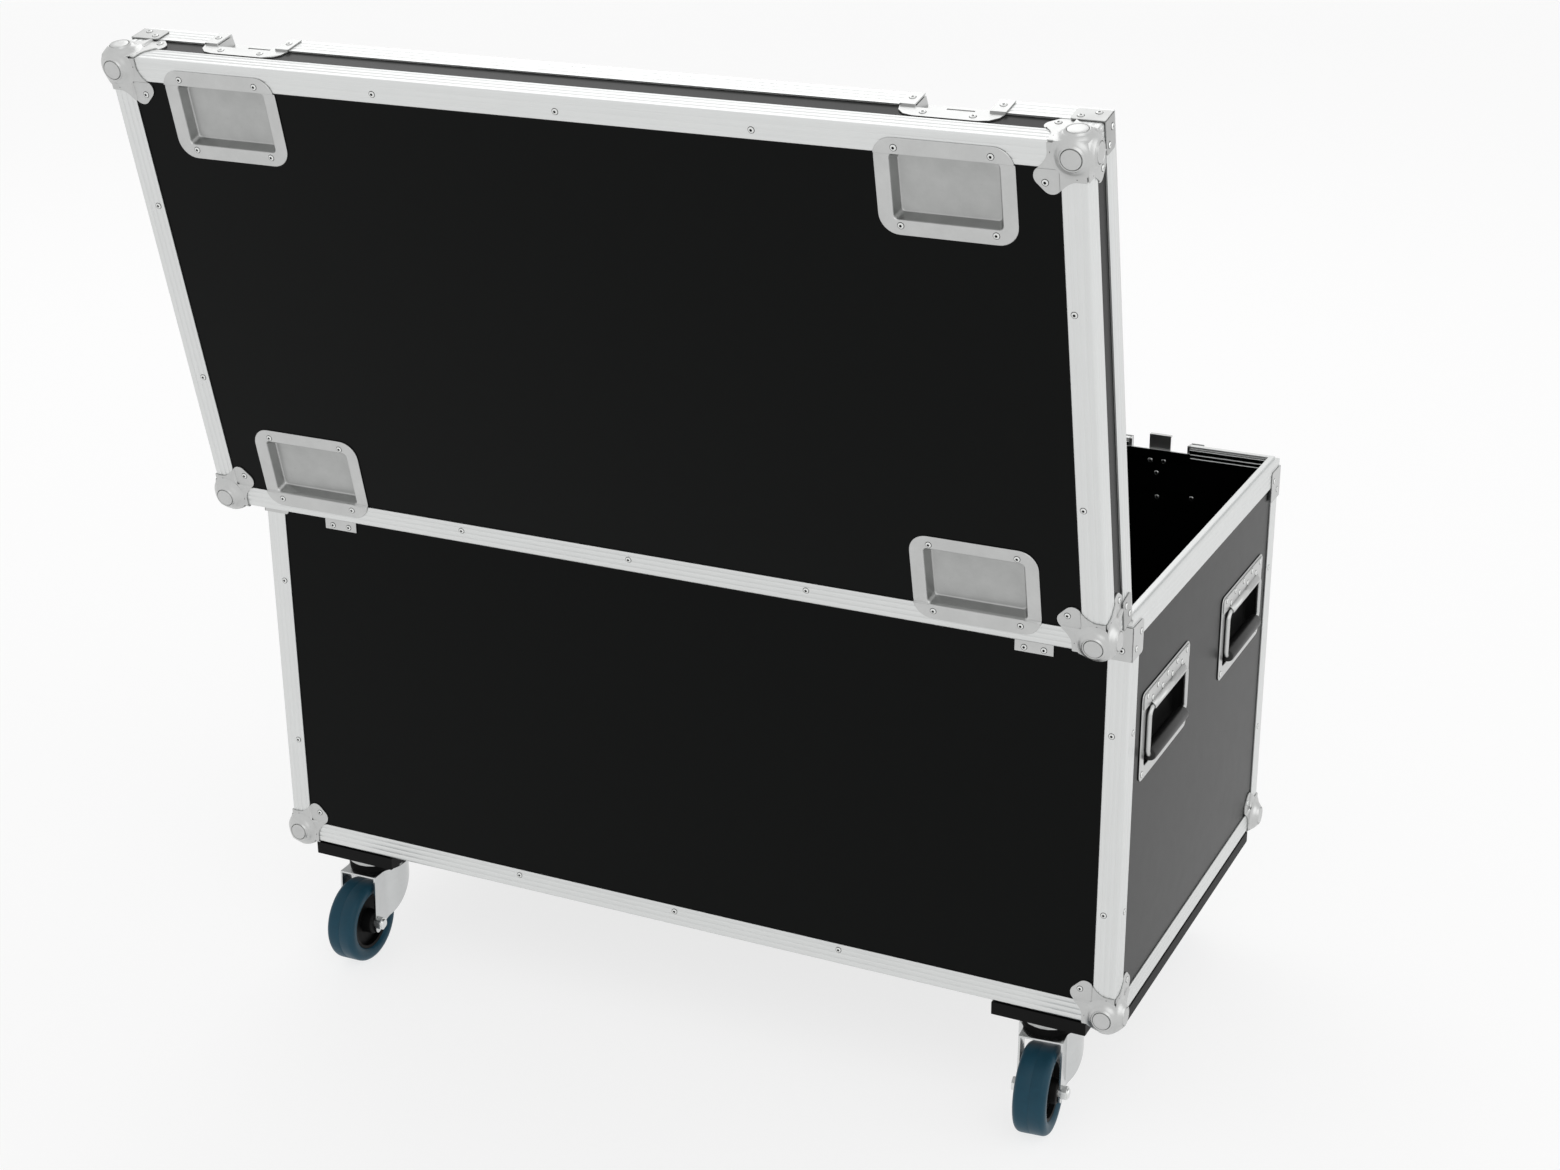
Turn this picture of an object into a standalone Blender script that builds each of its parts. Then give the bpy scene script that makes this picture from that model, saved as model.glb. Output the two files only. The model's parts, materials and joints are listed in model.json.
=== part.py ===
"""Wheeled flight case with its lid open: plywood panels in aluminium edge profiles, ball corners,
wheel dishes in the lid, spring handles, butterfly latches, hinges and four swivel castors.

Units are metres. +Z is up, the latch side faces -Y, the hinge side +Y. The origin lies on the
floor, under the middle of the whole object with its lid open."""

import math

import bmesh
import bpy
from mathutils import Matrix, Vector

# Case body
LENGTH = 1.050
DEPTH = 0.535
BASE_HEIGHT = 0.473
LID_HEIGHT = 0.073
LID_OPEN_ANGLE = math.radians(102.85)
PLY = 0.009
GAP = 0.0003
FAR = 3.0

# Aluminium profiles: skin over the panels, edge bands and the profiles that close the rims
SKIN = 0.0017
EDGE_BAND = 0.025
EDGE_ROUND = 0.0025
BASE_RIM_BAND = 0.030
LID_RIM_BAND = 0.0244
RIM_WEB = 0.006
RIM_INNER_LEG = 0.018
RIM_LEG_THICKNESS = 0.0015
SHOULDER_DROP = 0.003
TONGUE_INSET = 0.0045
TONGUE_WIDTH = 0.0065
LIP_GAP = 0.0004
LIP_WIDTH = 0.0038

# Ball corners
BALL_RADIUS = 0.0225
BALL_INSET = 0.0115
BALL_FLAT = 0.021
BALL_SHEET = 0.0015
LEG_REACH = 0.036
LEG_SIDE = 0.009
LOBE_REACH = 0.0622
LOBE_WIDTH = 0.029
LOBE_ROUND = 0.0095
LOBE_NECK = 0.046
LOBE_SHEET = 0.0012

# Castor boards and castors
BOARD_WIDTH = 0.139
BOARD_THICKNESS = 0.015
CASTOR_FROM_END = 0.0855
CASTOR_FROM_SIDE = 0.041
TRAIL = 0.038
CASTOR_YAW = {"rear_right": 1.4, "rear_left": 5.5, "front_right": -6.0, "front_left": 9.0}
PLATE_LENGTH = 0.095
PLATE_WIDTH = 0.067
PLATE_THICKNESS = 0.003
PLATE_ROUND = 0.006
RACE_RADIUS = 0.030
UPPER_RACE = 0.008
LOWER_RACE = 0.0074
WHEEL_RADIUS = 0.050
TREAD_WIDTH = 0.037
HUB_RADIUS = 0.014
HUB_WIDTH = 0.0433
WEB_WIDTH = 0.024
TYRE_INNER = 0.034
TREAD_SHOULDER = 0.007
TREAD_CHAMFER = 0.0022
AXLE_RADIUS = 0.006
FORK_INNER = 0.0445
FORK_SHEET = 0.0025
FORK_CROWN = 0.002
FORK_OVER_WHEEL = 0.009
FORK_FRONT = 0.0385
FORK_TOE = (0.0378, 0.042)
FORK_TOE_RADIUS = 0.0055
FORK_TOE_ARC = (4, -110)
FORK_HOLLOW = (0.010, 0.046)
FORK_TAIL = (-0.032, 0.098)
FORK_SKIRT = 0.036
FORK_SKIRT_BACK = 0.009
FORK_SKIRT_DEPTH = 0.007
NUT_RADIUS = 0.0085
NUT_HEIGHT = 0.007
BOLT_HEAD = 0.005
BOLT_END = 0.002

# Wheel dishes in the lid
DISH_LENGTH = 0.135
DISH_WIDTH = 0.096
DISH_ROUND = 0.020
DISH_RIM = 0.015
DISH_OVERLAP = 0.0155
DISH_DEPTH = 0.012
DISH_TAPER = 0.004
DISH_FROM_END = 0.134
SHEET = 0.0012
TUB_ROUND = 0.005

# Spring handles
HANDLE_LENGTH = 0.160
HANDLE_HEIGHT = 0.101
HANDLE_ROUND = 0.008
HANDLE_SHEET = 0.0013
HANDLE_BELOW_RIM = 0.1547
HANDLE_FROM_SIDE = 0.127
HANDLE_OPENING = (0.132, 0.069)
HANDLE_OPENING_DROP = 0.0025
HANDLE_DEPTH = 0.012
BAIL_PIVOT_RISE = 0.027
BAIL_PIVOT_OUT = 0.0038
BAIL_RADIUS = 0.0029
BAIL_SPACING = 0.1256
BAIL_REACH = 0.053
BAIL_BEND = 0.009
GRIP_RADIUS = 0.0078
GRIP_LENGTH = 0.116
BARREL_RADIUS = 0.0046
BARREL_LENGTH = 0.106
COVER_TOP = 0.046
COVER_LENGTH = 0.152

# Butterfly latches
LATCH_FROM_END = 0.142
LATCH_WIDTH = 0.102
LATCH_DROP = 0.0725
LATCH_RISE = 0.0445
LATCH_ROUND = 0.020
LATCH_OPENING = 0.072
LATCH_TAPER = 0.002
LATCH_RECESS_DROP = 0.058
LATCH_RECESS_RISE = 0.028
LATCH_FLOOR_TOP = 0.0095
SLOT_WIDTH = 0.027
SLOT_HEIGHT = 0.004
SLOT_RISE = 0.007
HOOK_WIDTH = 0.026
HOOK_THICKNESS = 0.0025
HOOK_TOP = 0.008
HOOK_LIP = 0.0032
HOOK_LIP_HEIGHT = 0.0025
SPINDLE_DROP = 0.034
SPINDLE_RADIUS = 0.020
SPINDLE_DISC = 0.0027
SPINDLE_SHAFT = 0.004
WING_RADIUS = 0.0185
WING_SHEET = 0.0018
WING_AXIS_OUT = 0.0017
WING_PIN = 0.0010
WING_TAB = 0.0115
EAR_WIDTH = 0.003
EAR_REACH = 0.0025
PIN_IN_EAR = 0.0024

# Hinges
HINGE_OUT = 0.0044
HINGE_FROM_END = 0.103
HINGE_WIDTH = 0.042
BASE_LEAF_DROP = 0.058
LID_LEAF_RISE = 0.045
LEAF_SHEET = 0.0015
LEAF_START = 0.005
KNUCKLE_RADIUS = 0.0035
KNUCKLE_LENGTH = 0.0134
PIN_RADIUS = 0.0015

# Places that follow from the sizes above
FACE = SKIN + GAP
PLY_BACK = FACE + PLY
INNER_LEG_FACE = PLY_BACK + GAP
RIM_DEPTH = INNER_LEG_FACE + RIM_LEG_THICKNESS
WHEEL_TOP = 2 * WHEEL_RADIUS
FORK_TOP = WHEEL_TOP + FORK_OVER_WHEEL + FORK_CROWN
CASTOR_HEIGHT = FORK_TOP + LOWER_RACE + UPPER_RACE + PLATE_THICKNESS + 2 * GAP
BOARD_TOP = CASTOR_HEIGHT + BOARD_THICKNESS
UNDERSIDE = BOARD_TOP + LOBE_SHEET + 2 * GAP
RIM = UNDERSIDE + BASE_HEIGHT
LATCH_FLOOR = PLY_BACK - SHEET
DISH_FROM_SIDE = EDGE_BAND - DISH_OVERLAP + DISH_WIDTH / 2
DISH_STEP = DISH_FROM_SIDE - EDGE_BAND - GAP
DISH_LOW = (DISH_RIM - DISH_LENGTH / 2, DISH_RIM - DISH_WIDTH / 2)
DISH_HIGH = (DISH_LENGTH / 2 - DISH_RIM, DISH_STEP - SHEET)
HALF_LENGTH = LENGTH / 2
HALF_DEPTH = DEPTH / 2
BALL_STAND = BALL_FLAT - BALL_INSET
BALL_FLAT_RADIUS = math.sqrt(BALL_RADIUS ** 2 - BALL_FLAT ** 2)
REAR_REACH = (HALF_DEPTH + HINGE_OUT
              + (HINGE_OUT + DEPTH - BALL_INSET + BALL_FLAT_RADIUS) * -math.cos(LID_OPEN_ANGLE)
              + (LID_HEIGHT + BALL_STAND) * math.sin(LID_OPEN_ANGLE))
CASE_Y = (HALF_DEPTH + BALL_STAND - REAR_REACH) / 2

COLOURS = {
    "laminate": ((0.018, 0.019, 0.019), 0.35, 0.0),
    "aluminium": ((0.74, 0.75, 0.75), 0.35, 1.0),
    "zinc": ((0.62, 0.63, 0.63), 0.3, 1.0),
    "castor_board": ((0.012, 0.012, 0.012), 0.6, 0.0),
    "tyre": ((0.012, 0.07, 0.11), 0.5, 0.0),
    "grip": ((0.015, 0.015, 0.015), 0.6, 0.0),
}


def make_collection(name):
    collection = bpy.data.collections.new(name)
    bpy.context.scene.collection.children.link(collection)
    return collection


def make_material(name):
    colour, roughness, metallic = COLOURS[name]
    material = bpy.data.materials.get(name) or bpy.data.materials.new(name)
    material.use_nodes = True
    shader = material.node_tree.nodes["Principled BSDF"]
    shader.inputs["Base Color"].default_value = (*colour, 1.0)
    shader.inputs["Roughness"].default_value = roughness
    shader.inputs["Metallic"].default_value = metallic
    material.diffuse_color = (*colour, 1.0)
    return material


def guide(name, mesh):
    """Adds a cutter or a guide: it shapes other pieces and is never a piece itself."""
    obj = bpy.data.objects.new(name, mesh)
    bpy.data.collections["flight_case_cutters"].objects.link(obj)
    obj.hide_render = True
    obj.display_type = "WIRE"
    return obj


def block(name, low, high, rounding=0.0, along="XYZ"):
    """A box between two opposite corners, with the edges along the named axes rounded. A cutter
    that has to pass right through reaches FAR, which is further than any piece."""
    low, high = Vector(map(min, low, high)), Vector(map(max, low, high))
    bm = bmesh.new()
    size = Matrix.Diagonal((*(high - low), 1.0))
    bmesh.ops.create_cube(bm, size=1.0, matrix=Matrix.Translation((low + high) / 2) @ size)
    if rounding:
        axes = [Vector((axis == "X", axis == "Y", axis == "Z")) for axis in along]
        edges = [e for e in bm.edges
                 if any(abs((e.verts[0].co - e.verts[1].co).normalized().dot(a)) > 0.99 for a in axes)]
        bmesh.ops.bevel(bm, geom=edges, offset=rounding, segments=2, profile=0.5, affect="EDGES")
    return guide(name, to_mesh(name, bm))


def tub(name, low, high, taper, rounding):
    """A block with round upright edges, drawn in by a taper at its low end as a pressed recess is."""
    obj = block(name, low, high, rounding, "Z")
    middle = (Vector(low) + Vector(high)) / 2
    half = (Vector(high) - Vector(low)) / 2
    for vertex in obj.data.vertices:
        if vertex.co.z < middle.z:
            vertex.co.x = middle.x + (vertex.co.x - middle.x) * (1 - taper / half.x)
            vertex.co.y = middle.y + (vertex.co.y - middle.y) * (1 - taper / half.y)
    return obj


def cylinder(name, radius, start, end, segments=24):
    """A closed cylinder between two points."""
    start, end = Vector(start), Vector(end)
    bm = bmesh.new()
    turn = (end - start).to_track_quat("Z", "Y").to_matrix().to_4x4()
    bmesh.ops.create_cone(bm, cap_ends=True, segments=segments, radius1=radius, radius2=radius,
                          depth=(end - start).length,
                          matrix=Matrix.Translation((start + end) / 2) @ turn)
    return guide(name, to_mesh(name, bm))


def ball(name, radius, centre, subdivisions):
    bm = bmesh.new()
    bmesh.ops.create_icosphere(bm, subdivisions=subdivisions, radius=radius,
                               matrix=Matrix.Translation(centre))
    return guide(name, to_mesh(name, bm))


def to_mesh(name, bm):
    mesh = bpy.data.meshes.new(name)
    bm.to_mesh(mesh)
    bm.free()
    return mesh


def prism(name, outline, low, high, frame=Matrix.Identity(4)):
    """A flat outline, given as 2D points, extruded from low to high along Z and put in a frame."""
    curve = bpy.data.curves.new(name, "CURVE")
    curve.dimensions = "2D"
    curve.fill_mode = "BOTH"
    curve.extrude = (high - low) / 2
    spline = curve.splines.new("POLY")
    spline.points.add(len(outline) - 1)
    for point, (x, y) in zip(spline.points, outline):
        point.co = (x, y, 0.0, 1.0)
    spline.use_cyclic_u = True
    return from_curve(name, curve, frame @ Matrix.Translation((0, 0, (low + high) / 2)))


def from_curve(name, curve, frame):
    """Makes a curve a closed mesh, with its caps welded on, in the given frame."""
    shape = bpy.data.objects.new(name, curve)
    bpy.data.collections["flight_case_cutters"].objects.link(shape)
    bpy.context.view_layer.update()
    mesh = bpy.data.meshes.new_from_object(shape.evaluated_get(bpy.context.evaluated_depsgraph_get()))
    bpy.data.objects.remove(shape)
    bpy.data.curves.remove(curve)
    bm = bmesh.new()
    bm.from_mesh(mesh)
    bmesh.ops.remove_doubles(bm, verts=bm.verts, dist=1e-6)
    bmesh.ops.transform(bm, matrix=frame, verts=bm.verts)
    bmesh.ops.recalc_face_normals(bm, faces=bm.faces)
    bm.to_mesh(mesh)
    bm.free()
    mesh.name = name
    return guide(name, mesh)


def combine(target, operation, *tools):
    """Boolean of the target with each tool in turn."""
    for tool in tools:
        step = target.modifiers.new(tool.name, "BOOLEAN")
        step.operation = operation
        step.object = tool
    return target


def join(target, *tools):
    return combine(target, "UNION", *tools)


def cut(target, *tools):
    return combine(target, "DIFFERENCE", *tools)


def keep(target, *tools):
    return combine(target, "INTERSECT", *tools)


def bake(shape):
    """The finished mesh of a shape, for a piece or for copies that share it."""
    bpy.context.view_layer.update()
    mesh = bpy.data.meshes.new_from_object(shape.evaluated_get(bpy.context.evaluated_depsgraph_get()))
    mesh.name = shape.name
    mesh.shade_smooth()
    mesh.set_sharp_from_angle(angle=math.radians(32))
    return mesh


def piece(name, mesh, material, parent, place=(0, 0, 0), turn=(0, 0, 0)):
    """Adds a named piece of the case, placed under its parent."""
    obj = bpy.data.objects.new(name, mesh)
    if not mesh.materials:
        mesh.materials.append(make_material(material))
    bpy.data.collections["flight_case"].objects.link(obj)
    obj.parent = parent
    obj.location = place
    obj.rotation_euler = turn
    return obj


def pivot(name, place, turn, parent):
    """An empty on a joint's axis."""
    empty = bpy.data.objects.new(name, None)
    bpy.data.collections["flight_case"].objects.link(empty)
    empty.parent = parent
    empty.location = place
    empty.rotation_euler = turn
    return empty


def arc(centre, radius, start, end, steps):
    """Points on an arc, with the angles in degrees."""
    angles = [math.radians(start + (end - start) * i / steps) for i in range(steps + 1)]
    return [(centre[0] + radius * math.cos(a), centre[1] + radius * math.sin(a)) for a in angles]


def bezier(start, control, end, steps):
    """Points of a quadratic curve."""
    points = []
    for i in range(steps + 1):
        t = i / steps
        points.append(tuple((1 - t) ** 2 * a + 2 * t * (1 - t) * b + t * t * c
                            for a, b, c in zip(start, control, end)))
    return points


def round_rectangle(low, high, low_radius, high_radius):
    """Outline of a rectangle with its own radius for the two low and the two high corners."""
    (x0, y0), (x1, y1) = low, high
    corners = [(x0, 1, y0, 1, low_radius, 180), (x1, -1, y0, 1, low_radius, 270),
               (x1, -1, y1, -1, high_radius, 0), (x0, 1, y1, -1, high_radius, 90)]
    outline = []
    for x, inward_x, y, inward_y, radius, start in corners:
        if radius:
            outline += arc((x + inward_x * radius, y + inward_y * radius), radius, start, start + 90, 3)
        else:
            outline.append((x, y))
    return outline


def nested(name, inset, low, high, rounding=0.0):
    """A block with the case's plan, drawn in by an inset from the outer faces."""
    x, y = HALF_LENGTH - inset, HALF_DEPTH - inset
    return block(name, (-x, -y, low), (x, y, high), rounding, "Z")


def ring(name, outer, inner, low, high):
    """A frame of the case's plan between two insets."""
    return cut(nested(name, outer, low, high), nested(name + "_hole", inner, low - FAR, high + FAR))


def edge_frame(name, open_end, closed_end):
    """The edge profiles of one half: four upright corners and a frame round the closed end.

    The frame runs from open_end, which meets the rim profile and is cut square, to closed_end."""
    outward = 1 if closed_end > open_end else -1
    past = open_end - outward * 2 * EDGE_ROUND
    far = open_end - outward * 4 * EDGE_ROUND
    band_end = closed_end - outward * EDGE_BAND
    wide = HALF_LENGTH - EDGE_BAND
    deep = HALF_DEPTH - EDGE_BAND
    frame = block(name, (-HALF_LENGTH, -HALF_DEPTH, closed_end), (HALF_LENGTH, HALF_DEPTH, past),
                  EDGE_ROUND)
    return cut(frame,
               nested(name + "_inside", SKIN, closed_end - outward * SKIN, far),
               block(name + "_long_window", (-wide, -FAR, band_end), (wide, FAR, far)),
               block(name + "_end_window", (-FAR, -deep, band_end), (FAR, deep, far)),
               block(name + "_flat_window", (-wide, -deep, closed_end + outward * FAR), (wide, deep, far)),
               block(name + "_open_end", (-FAR, -FAR, open_end), (FAR, FAR, far)))


def latch_places():
    return {"left": LATCH_FROM_END - HALF_LENGTH, "right": HALF_LENGTH - LATCH_FROM_END}


def handle_places():
    return {"front": HANDLE_FROM_SIDE - HALF_DEPTH, "rear": HALF_DEPTH - HANDLE_FROM_SIDE}


def castor_places():
    """Swivel axes, by name; left and right are as seen from the latch side."""
    x = HALF_LENGTH - CASTOR_FROM_END
    y = HALF_DEPTH - CASTOR_FROM_SIDE
    return {"front_left": (-x, -y), "front_right": (x, -y), "rear_left": (-x, y), "rear_right": (x, y)}


def corner_turns():
    """Each upright corner's place and the quarter turn that takes the rear right one to it."""
    return {"rear_right": (1, 1, 0), "rear_left": (-1, 1, 90),
            "front_left": (-1, -1, 180), "front_right": (1, -1, 270)}


def base_panels(case):
    wall_low = UNDERSIDE + FACE
    wall_high = RIM - RIM_WEB - GAP
    x, y = HALF_LENGTH - FACE, HALF_DEPTH - FACE
    floor = nested("floor_shape", PLY_BACK + GAP, wall_low, wall_low + PLY)
    piece("floor_panel", bake(floor), "laminate", case)
    rear = block("rear_shape", (-x, y - PLY, wall_low), (x, y, wall_high))
    piece("rear_panel", bake(rear), "laminate", case)
    front = block("front_shape", (-x, -y, wall_low), (x, PLY - y, wall_high))
    half = LATCH_OPENING / 2 + SHEET + GAP
    for side, place in latch_places().items():
        cut(front, block(f"latch_notch_{side}",
                         (place - half, -FAR, RIM - LATCH_RECESS_DROP - SHEET - GAP),
                         (place + half, FAR, RIM)))
    piece("front_panel", bake(front), "laminate", case)
    for side, sign in (("left", -1), ("right", 1)):
        wall = block(f"{side}_shape", (sign * x, PLY + GAP - y, wall_low),
                     (sign * (x - PLY), y - PLY - GAP, wall_high))
        for end, place in handle_places().items():
            half_y = HANDLE_OPENING[0] / 2 + HANDLE_SHEET + GAP
            half_z = HANDLE_OPENING[1] / 2 + HANDLE_SHEET + GAP
            middle = RIM - HANDLE_BELOW_RIM - HANDLE_OPENING_DROP
            cut(wall, block(f"handle_hole_{side}_{end}",
                            (-FAR, place - half_y, middle - half_z),
                            (FAR, place + half_y, middle + half_z)))
        piece(f"{side}_panel", bake(wall), "laminate", case)


def notch_rim(rim, half_name):
    """Cuts a rim profile away at the latches; its inner leg stays whole behind their dishes."""
    half = LATCH_OPENING / 2 + SHEET + GAP
    for side, place in latch_places().items():
        cut(rim,
            block(f"{half_name}_rim_notch_{side}", (place - half, -FAR, -FAR),
                  (place + half, INNER_LEG_FACE - HALF_DEPTH, FAR)),
            block(f"{half_name}_rim_leg_notch_{side}", (place - half, -FAR, -LATCH_FLOOR_TOP),
                  (place + half, 0, LATCH_FLOOR_TOP)))


def base_profiles(case):
    frame = edge_frame("base_edge_shape", RIM - BASE_RIM_BAND - GAP, UNDERSIDE)
    piece("base_edge_frame", bake(frame), "aluminium", case)
    rim = nested("base_rim_shape", 0, -BASE_RIM_BAND, -SHOULDER_DROP, EDGE_ROUND)
    join(rim, nested("rim_tongue", TONGUE_INSET, -2 * SHOULDER_DROP, 0))
    cut(rim,
        ring("base_wall_slot", SKIN, INNER_LEG_FACE, -FAR, -RIM_WEB),
        nested("base_rim_opening", RIM_DEPTH, -FAR, FAR),
        nested("base_leg_end", SKIN, -FAR, -RIM_INNER_LEG),
        nested("tongue_inside", TONGUE_INSET + TONGUE_WIDTH, -SHOULDER_DROP, FAR))
    notch_rim(rim, "base")
    piece("base_rim_profile", bake(rim), "aluminium", case, (0, 0, RIM))


def lobe_outline():
    """Two legs along the edges and, between them, a round-ended tongue along the diagonal."""
    half = LOBE_WIDTH / 2
    end = arc((LOBE_REACH - LOBE_ROUND, half - LOBE_ROUND), LOBE_ROUND, 90, 0, 4)
    tongue = [((along + across) / math.sqrt(2), (along - across) / math.sqrt(2))
              for along, across in [(LOBE_NECK, half), *end]]
    crook = (LEG_REACH, LEG_REACH - math.sqrt(2) * half)
    side = [(LEG_REACH, GAP), *bezier((LEG_REACH, LEG_SIDE), crook, tongue[0], 3), *tongue[1:]]
    return [(GAP, GAP)] + side + [(y, x) for x, y in reversed(side)]


def ball_corner_mesh():
    """A stamped corner: a dome round the corner point, which lies at the origin with the case
    towards -X, -Y and +Z, and three lobes that lie on the faces. The dome has a round flat
    on each of its three sides."""
    centre = Vector((-BALL_INSET, -BALL_INSET, BALL_INSET))
    dome = ball("ball_dome", BALL_RADIUS, centre, 3)
    face_frames = {
        "side": Matrix(((0, 0, 1, 0), (-1, 0, 0, 0), (0, 1, 0, 0), (0, 0, 0, 1))),
        "rear": Matrix(((-1, 0, 0, 0), (0, 0, 1, 0), (0, 1, 0, 0), (0, 0, 0, 1))),
        "end": Matrix(((-1, 0, 0, 0), (0, -1, 0, 0), (0, 0, -1, 0), (0, 0, 0, 1))),
    }
    lobes = [prism(f"lobe_{name}", lobe_outline(), GAP, GAP + LOBE_SHEET, frame)
             for name, frame in face_frames.items()]
    keep(dome, ball_flats("ball_flats", BALL_STAND))
    hollow = keep(ball("ball_hollow", BALL_RADIUS - BALL_SHEET, centre, 2),
                  ball_flats("ball_hollow_flats", BALL_STAND - BALL_SHEET))
    join(dome, *lobes)
    cut(dome, hollow, block("ball_case_corner", (-FAR, -FAR, -GAP), (GAP, GAP, FAR)))
    return bake(dome)


def ball_flats(name, stand):
    """The space inside the three planes that flatten a ball corner at this height over the faces."""
    return block(name, (-FAR, -FAR, -stand), (stand, stand, FAR))


def ball_corners(case, lid):
    mesh = ball_corner_mesh()
    for name, (x, y, turn) in corner_turns().items():
        piece(f"ball_corner_base_{name}", mesh, "zinc", case,
              (x * HALF_LENGTH, y * HALF_DEPTH, UNDERSIDE), (0, 0, math.radians(turn)))
        piece(f"ball_corner_lid_{name}", mesh, "zinc", lid,
              (x * HALF_LENGTH, y * HALF_DEPTH - HALF_DEPTH - HINGE_OUT, LID_HEIGHT),
              (math.pi, 0, math.radians(turn + 90)))


def castor_boards(case):
    notch = BALL_INSET + math.sqrt(BALL_RADIUS ** 2 - BALL_INSET ** 2) + 2 * GAP
    for side, sign in (("left", -1), ("right", 1)):
        board = block(f"board_{side}", (sign * HALF_LENGTH, -HALF_DEPTH, CASTOR_HEIGHT),
                      (sign * (HALF_LENGTH - BOARD_WIDTH), HALF_DEPTH, BOARD_TOP))
        for end, along in (("front", -1), ("rear", 1)):
            cut(board, block(f"board_notch_{side}_{end}",
                             (sign * (HALF_LENGTH - notch), along * (HALF_DEPTH - notch), 0),
                             (sign * FAR, along * FAR, FAR)))
        piece(f"castor_board_{side}", bake(board), "castor_board", case)


def castor_plate_mesh():
    """The top plate with the upper half of the swivel race, from the swivel axis on the floor."""
    top = CASTOR_HEIGHT - GAP
    plate = block("castor_plate_shape", (-PLATE_LENGTH / 2, -PLATE_WIDTH / 2, top - PLATE_THICKNESS),
                  (PLATE_LENGTH / 2, PLATE_WIDTH / 2, top), PLATE_ROUND, "Z")
    race = cylinder("upper_race", RACE_RADIUS, (0, 0, top - PLATE_THICKNESS - UPPER_RACE),
                    (0, 0, top - PLATE_THICKNESS / 2))
    return bake(join(plate, race))


def fork_plan(inset):
    """The fork from above: straight legs that fold out to a round skirt behind the swivel axis."""
    half, radius = FORK_INNER / 2 + FORK_SHEET - inset, FORK_SKIRT - inset
    front = FORK_TOE[0] + FORK_TOE_RADIUS + (FAR if inset else 0)
    turn = math.degrees(math.acos(half / radius))
    return [(half, front), *arc((0, -FORK_SKIRT_BACK), radius, turn, -180 - turn, 14), (-half, front)]


def castor_fork_mesh():
    """A pressed fork with the lower half of the race and the axle bolt, from the swivel axis."""
    crown = FORK_TOP - FORK_CROWN
    axle = (TRAIL, WHEEL_RADIUS)
    outline = [(FORK_FRONT, FORK_TOP)]
    outline += arc(FORK_TOE, FORK_TOE_RADIUS, *FORK_TOE_ARC, 6)
    outline += bezier(outline[-1], FORK_HOLLOW, FORK_TAIL, 8)[1:]
    back = -FORK_SKIRT - FORK_SKIRT_BACK
    outline += [(back, FORK_TOP - FORK_SKIRT_DEPTH), (back, FORK_TOP)]
    sideways = Matrix(((0, 0, 1, 0), (1, 0, 0, 0), (0, 1, 0, 0), (0, 0, 0, 1)))
    half = FORK_INNER / 2 + FORK_SHEET
    fork = prism("castor_fork_shape", outline, -FORK_SKIRT - GAP, FORK_SKIRT + GAP, sideways)
    keep(fork, prism("fork_plan", fork_plan(0), 0, CASTOR_HEIGHT))
    cut(fork, prism("fork_channel", fork_plan(FORK_SHEET), -FAR, crown))
    join(fork, cylinder("lower_race", RACE_RADIUS, (0, 0, FORK_TOP - FORK_CROWN / 2),
                        (0, 0, FORK_TOP + LOWER_RACE)))
    nut_end = -half - NUT_HEIGHT
    inside = half - FORK_SHEET / 2
    join(fork,
         cylinder("axle", AXLE_RADIUS, (nut_end - BOLT_END, *axle), (half + BOLT_HEAD / 2, *axle), 16),
         cylinder("axle_nut", NUT_RADIUS, (nut_end, *axle), (-inside, *axle), 6),
         cylinder("axle_head", NUT_RADIUS, (inside, *axle), (half + BOLT_HEAD, *axle), 6))
    return bake(fork)


def castor_wheel_mesh():
    """Tyre and hub as one turned profile round X, with the bore that runs on the axle."""
    hub, web, tread = HUB_WIDTH / 2, WEB_WIDTH / 2, TREAD_WIDTH / 2
    half = [(AXLE_RADIUS + GAP, hub), (HUB_RADIUS, hub), (HUB_RADIUS, web), (TYRE_INNER, web),
            (TYRE_INNER, tread), (WHEEL_RADIUS - TREAD_SHOULDER, tread),
            (WHEEL_RADIUS - TREAD_CHAMFER, tread - TREAD_CHAMFER), (WHEEL_RADIUS, tread - TREAD_SHOULDER)]
    profile = half + [(radius, -side) for radius, side in reversed(half)]
    mesh = bpy.data.meshes.new("wheel_profile")
    points = [(radius, 0, side) for radius, side in profile]
    edges = [(i, (i + 1) % len(points)) for i in range(len(points))]
    mesh.from_pydata(points, edges, [])
    shape = guide("castor_wheel_shape", mesh)
    screw = shape.modifiers.new("turn", "SCREW")
    screw.axis = "Z"
    screw.steps = screw.render_steps = 24
    screw.use_merge_vertices = True
    screw.merge_threshold = 0.0001
    wheel = bake(shape)
    wheel.transform(Matrix.Rotation(math.pi / 2, 4, "Y"))
    return wheel


def castors(case):
    plate, fork, wheel = castor_plate_mesh(), castor_fork_mesh(), castor_wheel_mesh()
    for name, (x, y) in castor_places().items():
        piece(f"castor_plate_{name}", plate, "zinc", case, (x, y, 0))
        swivel = pivot(f"castor_swivel_{name}", (x, y, 0), (0, 0, math.radians(CASTOR_YAW[name])), case)
        piece(f"castor_fork_{name}", fork, "zinc", swivel)
        piece(f"castor_wheel_{name}", wheel, "tyre", swivel, (0, TRAIL, WHEEL_RADIUS))


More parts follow.
